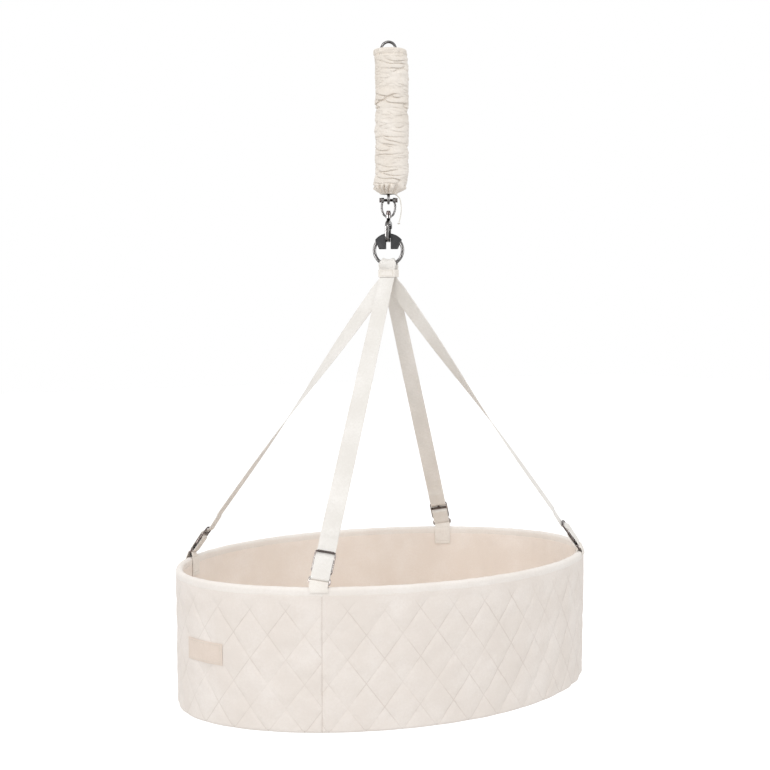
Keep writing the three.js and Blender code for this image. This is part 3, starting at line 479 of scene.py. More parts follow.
@dataclass(frozen=True)
class WovenCloth(Finish):
    """Woven cotton: dull, with a fine raised thread pattern, a little slub and a soft sheen.

    Real threads lie about 0.3 mm apart and wouldn't show, so they are drawn three or four times as coarse.
    """

    shade: str = "#D8CFC5"
    thread_pitch: tuple[float, float] = (1.1 * MM, 1.1 * MM)
    thread_relief: float = 0.12 * MM
    weave_height: float = 0.35
    weave_hollow_shade: float = -0.16
    slub_tone: float = 0.45
    slub_scale: float = 260.0
    cloud_scale: float = 16.0
    tone_span: tuple[float, float] = (0.35, 0.85)
    roughness: float = 0.9
    sheen: float = 0.12
    cloth_map: ClothMap = ClothMap.SEWN

    def build(self) -> bpy.types.Material:
        """Makes the material."""
        material, tree, shader = self.start()
        places = add_node(tree, "ShaderNodeTexCoord")
        where, lying = places.outputs[self.cloth_map.value], places.outputs["Object"]
        parts = add_node(tree, "ShaderNodeSeparateXYZ", {0: where})
        waves = []
        for axis, pitch in enumerate(self.thread_pitch):
            turn = add_node(tree, "ShaderNodeMath", {0: parts.outputs[axis], 1: math.pi / pitch},
                            operation="MULTIPLY")
            waves.append(add_node(tree, "ShaderNodeMath", {0: turn}, operation="SINE"))
        weave = add_node(tree, "ShaderNodeMath", {0: waves[0], 1: waves[1]}, operation="MULTIPLY")
        slub, cloud = (
            add_node(tree, "ShaderNodeTexNoise", {"Vector": lying, "Scale": scale, "Detail": detail})
            for scale, detail in ((self.slub_scale, 3.0), (self.cloud_scale, 4.0)))
        raised = add_node(tree, "ShaderNodeMath", {0: weave, 1: self.weave_height, 2: slub},
                          operation="MULTIPLY_ADD")
        tone = add_node(tree, "ShaderNodeMath", {0: slub, 1: self.slub_tone, 2: cloud},
                        operation="MULTIPLY_ADD")
        # Painted shade: the weave's low threads are drawn darker and its raised ones lighter.
        thread = add_node(tree, "ShaderNodeMath", {0: weave, 1: self.weave_hollow_shade, 2: tone},
                          operation="MULTIPLY_ADD")
        ramp = add_node(tree, "ShaderNodeValToRGB", {0: thread})
        for element, spot, hue in zip(ramp.color_ramp.elements, self.tone_span, (self.colour, self.shade)):
            element.position = spot
            element.color = hex_to_linear(hue)
        colour, height = self.with_seams(tree, where, ramp.outputs["Color"], raised.outputs[0])
        bump = add_node(tree, "ShaderNodeBump",
                        {"Height": height, "Distance": self.thread_relief, "Strength": 0.7})
        tree.links.new(colour, shader.inputs["Base Color"])
        tree.links.new(bump.outputs["Normal"], shader.inputs["Normal"])
        shader.inputs["Roughness"].default_value = self.roughness
        shader.inputs["Sheen Weight"].default_value = self.sheen
        shader.inputs["Sheen Roughness"].default_value = 0.5
        shader.inputs["Specular IOR Level"].default_value = 0.25
        return material

    def with_seams(self, tree: bpy.types.NodeTree, where: bpy.types.NodeSocket, colour: bpy.types.NodeSocket,
                   height: bpy.types.NodeSocket) -> tuple[bpy.types.NodeSocket, bpy.types.NodeSocket]:
        """Returns the colour and the height once sewn seams are drawn in: here there are none."""
        return colour, height


@dataclass(frozen=True)
class QuiltPattern:
    """The wall's sewn pattern, in distances round the rim and below it.

    Past the first upright seam and up to the second, the diamonds are shifted by a share of their width.
    """

    diamond: tuple[float, float] = (59.8 * MM, 77.6 * MM)
    origin: tuple[float, float] = (1368 * MM, 115.6 * MM)
    upright_seams: tuple[float, float] = (251.1 * MM, 1327.6 * MM)
    panel_shift: float = 0.36


@dataclass(frozen=True)
class QuiltedCloth(WovenCloth):
    """Quilted sateen: the same cloth with thin sewn lines in diamonds, and two upright seams, sunk and
    darkened with painted shade.
    """

    pattern: QuiltPattern = QuiltPattern()
    seam_shade_colour: str = "#B9ABA0"
    seam_depth: float = 3.6
    seam_shade_strength: float = 0.36
    seam_half_width: float = 0.7 * MM
    upright_strength: float = 1.5
    stitch: float = 2.9 * MM
    plain_band: float = 22 * MM
    tension_scale: float = 17.0

    def with_seams(self, tree: bpy.types.NodeTree, where: bpy.types.NodeSocket, colour: bpy.types.NodeSocket,
                   height: bpy.types.NodeSocket) -> tuple[bpy.types.NodeSocket, bpy.types.NodeSocket]:
        """Draws the sewn lines: sunk, and a little darker with painted shade in short dashes along them.

        Args:
            tree: The material's tree.
            where: The cloth map, in metres round the rim and below it.
            colour: Colour of the cloth.
            height: Height of the cloth's threads.

        Returns:
            Colour and height with the seams in them.
        """
        parts = add_node(tree, "ShaderNodeSeparateXYZ", {0: where})
        slanting = self.line(tree, self.diamond_gap(tree, parts))
        seams = add_node(tree, "ShaderNodeMath", {0: slanting, 1: self.pull(tree, parts)},
                         operation="MULTIPLY")
        for place in self.pattern.upright_seams:
            off = add_node(tree, "ShaderNodeMath", {0: parts, 1: place}, operation="SUBTRACT")
            gap = add_node(tree, "ShaderNodeMath", {0: off}, operation="ABSOLUTE")
            upright = add_node(tree, "ShaderNodeMath", {0: self.line(tree, gap), 1: self.upright_strength},
                               operation="MULTIPLY")
            seams = add_node(tree, "ShaderNodeMath", {0: seams, 1: upright}, operation="MAXIMUM")
        run = add_node(tree, "ShaderNodeMath", {0: parts.outputs[1], 1: math.pi / self.stitch},
                       operation="MULTIPLY")
        wave = add_node(tree, "ShaderNodeMath", {0: run}, operation="SINE")
        beat = add_node(tree, "ShaderNodeMath", {0: wave}, operation="ABSOLUTE")
        dashes = add_node(tree, "ShaderNodeMapRange", {
            "Value": beat, "From Min": 0.1, "From Max": 0.5, "To Min": 1.0, "To Max": 0.6})
        shown = add_node(tree, "ShaderNodeMath", {0: dashes, 1: seams}, operation="MULTIPLY")
        # Painted shade: the sunk seams are darkened, more where they pull harder, in short dashes.
        painted_seam_shade = add_node(tree, "ShaderNodeMath", {0: shown, 1: self.seam_shade_strength}, operation="MULTIPLY",
                        use_clamp=True)
        mixed = add_node(tree, "ShaderNodeMix", {0: painted_seam_shade, 6: colour, 7: hex_to_linear(self.seam_shade_colour)},
                         data_type="RGBA")
        sunk = add_node(tree, "ShaderNodeMath", {0: shown, 1: -self.seam_depth, 2: height},
                        operation="MULTIPLY_ADD")
        return mixed.outputs[2], sunk.outputs[0]

    def diamond_gap(self, tree: bpy.types.NodeTree, parts: bpy.types.Node) -> bpy.types.Node:
        """Works out the distance to the nearest slanting seam.

        Args:
            tree: The material's tree.
            parts: The cloth map's two distances.

        Returns:
            The node that gives it.
        """
        pattern = self.pattern
        places = []
        for axis in (0, 1):
            start = add_node(tree, "ShaderNodeMath", {0: parts.outputs[axis], 1: pattern.origin[axis]},
                             operation="SUBTRACT")
            places.append(add_node(tree, "ShaderNodeMath", {0: start, 1: pattern.diamond[axis]},
                                   operation="DIVIDE"))
        for seam, shift in zip(pattern.upright_seams, (-pattern.panel_shift, pattern.panel_shift)):
            past = add_node(tree, "ShaderNodeMath", {0: parts, 1: seam}, operation="GREATER_THAN")
            places[0] = add_node(tree, "ShaderNodeMath", {0: past, 1: shift, 2: places[0]},
                                 operation="MULTIPLY_ADD")
        spacing = 1.0 / math.hypot(1.0 / pattern.diamond[0], 1.0 / pattern.diamond[1])
        gaps = []
        for kind in ("ADD", "SUBTRACT"):
            line = add_node(tree, "ShaderNodeMath", {0: places[0], 1: places[1]}, operation=kind)
            share = add_node(tree, "ShaderNodeMath", {0: line, 1: 0.5}, operation="PINGPONG")
            gaps.append(add_node(tree, "ShaderNodeMath", {0: share, 1: spacing}, operation="MULTIPLY"))
        return add_node(tree, "ShaderNodeMath", {0: gaps[0], 1: gaps[1]}, operation="MINIMUM")

    def pull(self, tree: bpy.types.NodeTree, parts: bpy.types.Node) -> bpy.types.Node:
        """Works out how hard the slanting seams pull: not at all in the plain band.

        Args:
            tree: The material's tree.
            parts: The cloth map's two distances.

        Returns:
            The node that gives it.
        """
        below = add_node(tree, "ShaderNodeMapRange", {
            "Value": parts.outputs[1], "From Min": self.plain_band, "From Max": 1.7 * self.plain_band})
        lying = add_node(tree, "ShaderNodeTexCoord").outputs["Object"]
        tension = add_node(tree, "ShaderNodeTexNoise",
                           {"Vector": lying, "Scale": self.tension_scale, "Detail": 2.0})
        pulled = add_node(tree, "ShaderNodeMapRange", {
            "Value": tension, "From Min": 0.38, "From Max": 0.62, "To Min": 0.25, "To Max": 1.3})
        return add_node(tree, "ShaderNodeMath", {0: pulled, 1: below}, operation="MULTIPLY")

    def line(self, tree: bpy.types.NodeTree, gap: bpy.types.Node) -> bpy.types.Node:
        """Draws a line along a seam.

        Args:
            tree: The material's tree.
            gap: Distance to the seam.

        Returns:
            The node that gives one on the seam and zero beside it.
        """
        return add_node(tree, "ShaderNodeMapRange", {
            "Value": gap, "From Min": 0.4 * self.seam_half_width, "From Max": 1.6 * self.seam_half_width,
            "To Min": 1.0, "To Max": 0.0}, interpolation_type="SMOOTHSTEP")


@dataclass(frozen=True)
class BareMetal(Finish):
    """Plated or polished steel: metallic, with fine rub marks and duller, darker worn patches."""

    worn: str = "#5A5856"
    roughness: float = 0.22
    roughness_spread: float = 0.14
    patch_scale: float = 180.0
    rub_scale: float = 900.0
    wear_span: tuple[float, float] = (0.45, 0.8)

    def build(self) -> bpy.types.Material:
        """Makes the material."""
        material, tree, shader = self.start()
        lying = add_node(tree, "ShaderNodeTexCoord").outputs["Object"]
        patches, fine = (
            add_node(tree, "ShaderNodeTexNoise", {"Vector": lying, "Scale": scale, "Detail": detail})
            for scale, detail in ((self.patch_scale, 4.0), (self.rub_scale, 2.0)))
        ramp = add_node(tree, "ShaderNodeValToRGB", {0: patches})
        for element, spot, hue in zip(ramp.color_ramp.elements, self.wear_span, (self.colour, self.worn)):
            element.position = spot
            element.color = hex_to_linear(hue)
        dull = add_node(tree, "ShaderNodeMath", {0: fine, 1: self.roughness_spread, 2: self.roughness},
                        operation="MULTIPLY_ADD")
        bump = add_node(tree, "ShaderNodeBump", {"Height": fine, "Distance": 0.02 * MM, "Strength": 0.4})
        tree.links.new(ramp.outputs["Color"], shader.inputs["Base Color"])
        tree.links.new(dull.outputs[0], shader.inputs["Roughness"])
        tree.links.new(bump.outputs["Normal"], shader.inputs["Normal"])
        shader.inputs["Metallic"].default_value = 1.0
        return material


@dataclass(frozen=True)
class MouldedPlastic(Finish):
    """Moulded nylon: matt, with a fine spark-eroded grain and slight handling shine."""

    grain_scale: float = 1400.0
    handled_scale: float = 90.0
    roughness: float = 0.42
    roughness_spread: float = 0.25

    def build(self) -> bpy.types.Material:
        """Makes the material."""
        material, tree, shader = self.start()
        lying = add_node(tree, "ShaderNodeTexCoord").outputs["Object"]
        grain, handled = (
            add_node(tree, "ShaderNodeTexNoise", {"Vector": lying, "Scale": scale, "Detail": 2.0})
            for scale in (self.grain_scale, self.handled_scale))
        dull = add_node(tree, "ShaderNodeMath", {0: handled, 1: self.roughness_spread, 2: self.roughness},
                        operation="MULTIPLY_ADD")
        bump = add_node(tree, "ShaderNodeBump", {"Height": grain, "Distance": 0.05 * MM, "Strength": 0.5})
        shader.inputs["Base Color"].default_value = hex_to_linear(self.colour)
        shader.inputs["Specular IOR Level"].default_value = 0.3
        tree.links.new(dull.outputs[0], shader.inputs["Roughness"])
        tree.links.new(bump.outputs["Normal"], shader.inputs["Normal"])
        return material


@dataclass(frozen=True)
class SandedPly(Finish):
    """Sanded birch plywood: pale, with long soft grain along the basket."""

    dark: str = "#A97F4E"

    def build(self) -> bpy.types.Material:
        """Makes the material."""
        material, tree, shader = self.start()
        lying = add_node(tree, "ShaderNodeTexCoord").outputs["Object"]
        stretch = add_node(tree, "ShaderNodeMapping", {"Vector": lying, "Scale": (3.0, 60.0, 60.0)})
        grain = add_node(tree, "ShaderNodeTexNoise", {"Vector": stretch, "Scale": 6.0, "Detail": 6.0})
        ramp = add_node(tree, "ShaderNodeValToRGB", {0: grain})
        ramp.color_ramp.elements[0].color = hex_to_linear(self.colour)
        ramp.color_ramp.elements[1].color = hex_to_linear(self.dark)
        tree.links.new(ramp.outputs["Color"], shader.inputs["Base Color"])
        shader.inputs["Roughness"].default_value = 0.62
        return material


class Finishes:
    """The finishes of this object, each made once."""

    def __init__(self) -> None:
        """Makes every material."""
        # Sateen: fine threads and hardly any relief, so that light falls off softly over the padding.
        sateen = {"thread_pitch": (0.9 * MM, 0.9 * MM), "thread_relief": 0.08 * MM}
        self.quilt = QuiltedCloth("quilted cotton sateen", "#EEE7E1", shade="#E4DBD3", **sateen).build()
        self.plain = WovenCloth("washed cotton sateen", "#EEE7E1", shade="#E4DBD3",
                                cloth_map=ClothMap.LYING, **sateen).build()
        # Painted highlight: the binding is lighter than the quilted wall, for the bright line along the rim.
        # The mattress piping shares it.
        self.binding = WovenCloth("cotton bias binding", "#F4EFEA", shade="#EAE3DC", **sateen).build()
        # Twill and plain weave: a plainer, duller face, warm where the basket's inside lies in shade.
        self.patch = WovenCloth("cotton twill patch", "#E9DBD0", shade="#DECFC2").build()
        self.lining = WovenCloth("cotton lining", "#F5EDE6", shade="#EDE2D8").build()
        self.mattress = WovenCloth("cotton mattress cover", "#F0E8E0", shade="#E5DACF",
                                   cloth_map=ClothMap.LYING).build()
        self.sleeve = WovenCloth("cotton poplin sleeve", "#EFE9E2", shade="#E0D7CC").build()
        # Webbing: thick ribs that catch the light across the strap.
        ribbed = {"thread_pitch": (1.5 * MM, 1.2 * MM), "thread_relief": 0.35 * MM, "roughness": 0.85}
        self.webbing = WovenCloth("cotton webbing", "#F3F0EC", shade="#E2DED8", **ribbed).build()
        self.collar = WovenCloth("natural cotton webbing", "#F5F1EB", shade="#E8E1D9", **ribbed).build()
        # Cord and thread: round strands with small shadows between them.
        self.cord = WovenCloth("braided cotton cord", "#F4F1EA", shade="#DDD7CC",
                               thread_pitch=(0.7 * MM, 0.7 * MM), thread_relief=0.2 * MM).build()
        self.thread = WovenCloth("polyester sewing thread", "#E6DFD6", shade="#CFC6BA",
                                 thread_pitch=(0.3 * MM, 0.3 * MM), thread_relief=0.05 * MM).build()
        # Plated steel: sharp highlights where it is polished, soft pale ones where it is rubbed rougher. The
        # pale steel of the rails is a painted reflection.
        self.bright_steel = BareMetal("polished nickel-plated steel", "#72706F", worn="#3A3938",
                                      roughness=0.12).build()
        self.dark_steel = BareMetal("black-nickel-plated steel", "#58504D", worn="#74696A",
                                    roughness=0.2).build()
        # Painted reflection: a pale steel for the side rails, standing for the white studio that they
        # reflect.
        self.rail_reflection_steel = BareMetal("rubbed nickel-plated steel", "#C9C3BF", worn="#94898A",
                                      roughness=0.2).build()
        self.spring_steel = BareMetal("oiled spring steel", "#6A6866", worn="#4A4744", roughness=0.34).build()
        # Moulded nylon: dark and matt, with no clear reflection.
        self.nylon = MouldedPlastic("moulded grey nylon", "#2B2B2D").build()
        # Plywood: pale wood with a soft grain under the mattress.
        self.ply = SandedPly("sanded birch plywood", "#D9BE94").build()


def dress(piece: Piece, material: bpy.types.Material) -> Piece:
    """Gives a piece one material all over.

    Args:
        piece: The piece.
        material: Its material.

    Returns:
        The same piece.
    """
    piece.data.materials.clear()
    piece.data.materials.append(material)
    return piece


@dataclass(frozen=True)
class Stitching:
    """A seam of short rounded stitches, laid end to end."""

    pitch: float = 3.4 * MM
    stitch_share: float = 0.74
    thread_radius: float = 0.32 * MM
    sunk: float = 0.15 * MM

    def one_stitch(self, name: str) -> Piece:
        """Builds one stitch along X that stands up along Z and dives in at its ends.

        Args:
            name: Name of the seam.

        Returns:
            The stitch.
        """
        along = np.linspace(-0.5, 0.5, 5)
        arch = self.thread_radius * (1.0 - 4.0 * along ** 2) - self.sunk
        path = np.stack((along * self.pitch * self.stitch_share, np.zeros(5), arch), -1)
        return tube(name, path, self.thread_radius, sides=6)

    def sew(self, name: str, route: Array, outward: Array) -> Piece:
        """Lays copies of one stitch along a seam.

        Args:
            name: Name of the seam.
            route: Points of the seam on the cloth.
            outward: Direction out of the cloth, one for each point or one for all.

        Returns:
            The seam, joined into one piece.
        """
        steps = np.linalg.norm(np.diff(route, axis=0), axis=1)
        distances = np.concatenate(((0.0,), np.cumsum(steps)))
        count = max(2, round(float(distances[-1]) / self.pitch))
        spots = (np.arange(count) + 0.5) / count * distances[-1]
        outward = np.broadcast_to(outward, route.shape)
        centres, outs, before, after = (
            np.stack([np.interp(where, distances, values[:, axis]) for axis in range(3)], -1)
            for values, where in ((route, spots), (outward, spots), (route, spots - self.pitch / 4),
                                  (route, spots + self.pitch / 4)))
        ahead = unit(after - before)
        sideways = unit(np.cross(outs, ahead))
        first = self.one_stitch(name)
        shape = points_of(first)
        stitches = [first]
        for _ in range(count - 1):
            stitch = first.copy()
            stitch.data = first.data.copy()
            bpy.context.collection.objects.link(stitch)
            stitches.append(stitch)
        for index, stitch in enumerate(stitches):
            axes = np.stack((ahead[index], sideways[index], np.cross(ahead[index], sideways[index])))
            place_points(stitch, shape @ axes + centres[index])
        return smooth(joined(name, *stitches), 60)


# Sizes that several pieces share

@dataclass(frozen=True)
class RingSizes:
    """The hanging ring and its place, read from the frame."""

    outer_diameter: float = 57 * MM
    wire: float = 6 * MM
    turn: float = -47.0

    @cached_property
    def centre_z(self) -> float:
        """Returns the height of the ring's centre."""
        low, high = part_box("hanging_ring")
        return (low[2] + high[2]) / 2

    @property
    def mean_radius(self) -> float:
        """Returns the radius of the wire's centre line."""
        return (self.outer_diameter - self.wire) / 2

    @property
    def foot_wire_z(self) -> float:
        """Returns the height of the wire's centre at the ring's foot."""
        return self.centre_z - self.mean_radius


@dataclass(frozen=True)
class WebbingSizes:
    """The webbing and the way it is layered, folded and threaded."""

    width: float = 30 * MM
    thickness: float = 1.2 * MM
    layer_gap: float = 0.4 * MM
    cloth_gap: float = 0.9 * MM
    bar_gap: float = 0.9 * MM
    collar_height: float = 13 * MM
    collar_drop: float = 9 * MM
    short_end: float = 9 * MM
    collar_turn: float = -63.0
    slide_bar: float = 3 * MM
    slide_upper_pitch: float = 13 * MM
    slide_lower_pitch: float = 24 * MM
    rim_ring_bar: float = 3.4 * MM
    rim_ring_pitch: float = 8.2 * MM
    rim_ring_rise: float = 6 * MM
    slide_above_rim_ring: float = 8.8 * MM
    end_fold_drop: float = 8 * MM
    tab_outer_leg: float = 8 * MM
    tab_inner_leg: float = 34 * MM

    @property
    def layer_pitch(self) -> float:
        """Returns the distance from one layer to the next."""
        return self.thickness + self.layer_gap

    @property
    def slide_middle(self) -> float:
        """Returns the height of the slide's toothed middle bar above the rim ring's lower bar."""
        return self.rim_ring_pitch + self.slide_above_rim_ring + self.slide_lower_pitch

    @property
    def slide_top(self) -> float:
        """Returns the height of the slide's top bar."""
        return self.slide_middle + self.slide_upper_pitch


@dataclass(frozen=True)
class BasketPlan:
    """The basket's oval plan, a superellipse, and the wall that leans in slightly below it."""

    length: float = 800 * MM
    width: float = 570 * MM
    height: float = 232 * MM
    power_share: float = 1.93
    taper: float = 2 * MM
    strap_stations: tuple[tuple[str, float], ...] = (
        ("front_left", 0.344), ("rear_left", 0.384), ("front_right", 0.384), ("rear_right", 0.344))
    binding_half_width: float = 5.65 * MM
    station_step: float = 0.03

    @cached_property
    def rim_z(self) -> float:
        """Returns the height of the rim."""
        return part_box("rim_binding")[1][2]

    @property
    def base_z(self) -> float:
        """Returns the height of the basket's underside."""
        return self.rim_z - self.height

    def at(self, angle: Array) -> tuple[Array, Array]:
        """Finds places on the outline.

        Args:
            angle: Angles of the oval, from its +X end.

        Returns:
            Points on the outline and their outward directions, both level.
        """
        power = 2.0 / self.power_share
        half = np.array((self.length / 2, self.width / 2))
        turn = np.stack((np.cos(angle), np.sin(angle)), axis=-1)
        flat = half * np.sign(turn) * np.abs(turn) ** power
        slope = np.sign(flat) * np.abs(flat / half) ** (self.power_share - 1.0) / half
        level = np.zeros((*flat.shape[:-1], 1))
        return np.concatenate((flat, level), -1), unit(np.concatenate((slope, level), -1))

    @cached_property
    def _arc_table(self) -> tuple[Array, Array]:
        """Returns angles and the distances round the outline that belong to them."""
        angles = np.linspace(0.0, 2.0 * math.pi, 8001)
        steps = np.linalg.norm(np.diff(self.at(angles)[0], axis=0), axis=1)
        return angles, np.concatenate(((0.0,), np.cumsum(steps)))

    @property
    def girth(self) -> float:
        """Returns the length of the outline."""
        return float(self._arc_table[1][-1])

    def angle_at(self, distance: Array) -> Array:
        """Returns the angle at a distance round the outline from its +X end."""
        angles, distances = self._arc_table
        return np.interp(np.mod(distance, self.girth), distances, angles)

    def wall(self, distance: Array, drop: Array, inside: Array) -> Array:
        """Returns points of the wall.

        Args:
            distance: Distances round the rim.
            drop: Distances below the rim.
            inside: Distances in from the outline.

        Returns:
            Points in the frame.
        """
        point, out = self.at(self.angle_at(distance))
        lean = self.taper * drop / self.height
        place = point - out * (inside + lean)[..., None]
        place[..., 2] = self.rim_z - drop
        return place

    def strap_angle(self, corner: str) -> float:
        """Finds the outline's angle where a corner's strap meets the rim.

        Args:
            corner: Name of the corner.

        Returns:
            The angle.
        """
        angle = math.acos((2.0 * dict(self.strap_stations)[corner]) ** (self.power_share / 2))
        return {"rear_right": angle, "rear_left": math.pi - angle, "front_left": math.pi + angle,
                "front_right": -angle}[corner]


@dataclass(frozen=True)
class Wheel:
    """A circle that a belt runs round: its centre and radius, and +1 for a left turn or -1 for a right."""

    x: float
    y: float
    radius: float
    turn: int


def belt_path(start: tuple[float, float], wheels: list[Wheel], end: tuple[float, float], arc_steps: int,
              straight: float = 3 * MM) -> Array:
    """Returns a path that runs from a start to an end round wheels, as a belt does.

    Args:
        start: First point.
        wheels: Circles in the order in which the belt meets them.
        end: Last point.
        arc_steps: Steps for half a turn.
        straight: Length of a step on the straight runs.

    Returns:
        One row for each point: its two coordinates and its heading.
    """
    stops = [Wheel(*start, 0.0, 1), *wheels, Wheel(*end, 0.0, 1)]
    runs = []
    for here, there in zip(stops, stops[1:]):
        step = (there.x - here.x, there.y - here.y)
        sides = (here.turn * here.radius, there.turn * there.radius)
        heading = math.atan2(step[1], step[0]) + math.asin((sides[0] - sides[1]) / math.hypot(*step))
        right = (math.sin(heading), -math.cos(heading))
        runs.append([(stop.x + right[0] * side, stop.y + right[1] * side, heading)
                     for stop, side in zip((here, there), sides)])
    rows = []
    for index, run in enumerate(runs):
        count = max(1, round(math.dist(run[0][:2], run[1][:2]) / straight))
        rows += [mix(np.array(run[0]), np.array(run[1]), step / count) for step in range(count + 1)]
        if index < len(wheels):
            rows += wheel_arc(wheels[index], run[1][2], runs[index + 1][0][2], arc_steps)
    return np.array(rows)


def wheel_arc(wheel: Wheel, arrive: float, leave: float, arc_steps: int) -> list[Array]:
    """Works out the points of a belt on one wheel.

    Args:
        wheel: The wheel.
        arrive: Heading of the belt where it meets the wheel.
        leave: Heading where it leaves it, give or take whole turns.
        arc_steps: Steps for half a turn.

    Returns:
        Points with their headings, without the first and the last.
    """
    while wheel.turn * (leave - arrive) < -1e-9:
        leave += wheel.turn * 2.0 * math.pi
    count = max(1, round(abs(leave - arrive) / math.pi * arc_steps))
    side = wheel.turn * wheel.radius
    headings = [mix(arrive, leave, step / count) for step in range(1, count)]
    return [np.array((wheel.x + math.sin(h) * side, wheel.y - math.cos(h) * side, h)) for h in headings]


@dataclass(frozen=True)
class StrapCorner:
    """Where one strap meets the basket: its seat on the rim, and the directions of its hardware."""

    name: str
    layer: float
    fold: float
    plan: BasketPlan
    webbing: WebbingSizes
    ring: RingSizes

    @cached_property
    def out(self) -> Array:
        """Returns the wall's outward direction."""
        return self.plan.at(np.array(self.plan.strap_angle(self.name)))[1]

    @cached_property
    def foot(self) -> Array:
        """Returns the middle of the rim under the strap."""
        angle = self.plan.strap_angle(self.name)
        point = self.plan.at(np.array(angle))[0] - self.out * self.plan.binding_half_width
        return point + UP * self.plan.rim_z

    @cached_property
    def seat(self) -> Array:
        """Returns the middle of the rim ring's lower bar."""
        return self.foot + UP * self.webbing.rim_ring_rise

    @cached_property
    def wall_radius(self) -> float:
        """Returns the radius of the wall's curve under the strap."""
        angle = self.plan.strap_angle(self.name)
        points, outs = self.plan.at(np.array((angle, angle + self.plan.station_step)))
        turned = math.acos(float(np.clip(np.dot(outs[0], outs[1]), -1.0, 1.0)))
        return float(np.linalg.norm(points[1] - points[0])) / turned - self.plan.binding_half_width

    @cached_property
    def exit(self) -> Array:
        """Returns the point where the strap leaves the collar."""
        level = facing(self.webbing.collar_turn) * self.layer * self.webbing.layer_pitch
        drop = self.webbing.collar_drop + self.webbing.collar_height
        return level + UP * (self.ring.foot_wire_z - drop)

    @cached_property
    def up(self) -> Array:
        """Returns the direction up along the strap."""
        return unit(self.exit - self.seat)

    @cached_property
    def along(self) -> Array:
        """Returns the level direction along the wall."""
        return np.array((-self.out[1], self.out[0], 0.0))

    @cached_property
    def bar(self) -> Array:
        """Returns the direction of the hardware's bars."""
        return unit(self.along - self.up * np.dot(self.along, self.up))

    @cached_property
    def normal(self) -> Array:
        """Returns the direction out of the strap's face."""
        return unit(np.cross(self.bar, self.up))

    def local(self, width: Array, height: Array, depth: Array) -> Array:
        """Returns frame points for places on the corner's own axes."""
        spread = np.asarray(width)[..., None] * self.bar + np.asarray(height)[..., None] * self.up
        return self.seat + spread + np.asarray(depth)[..., None] * self.normal


# Webbing straps, tabs and collar

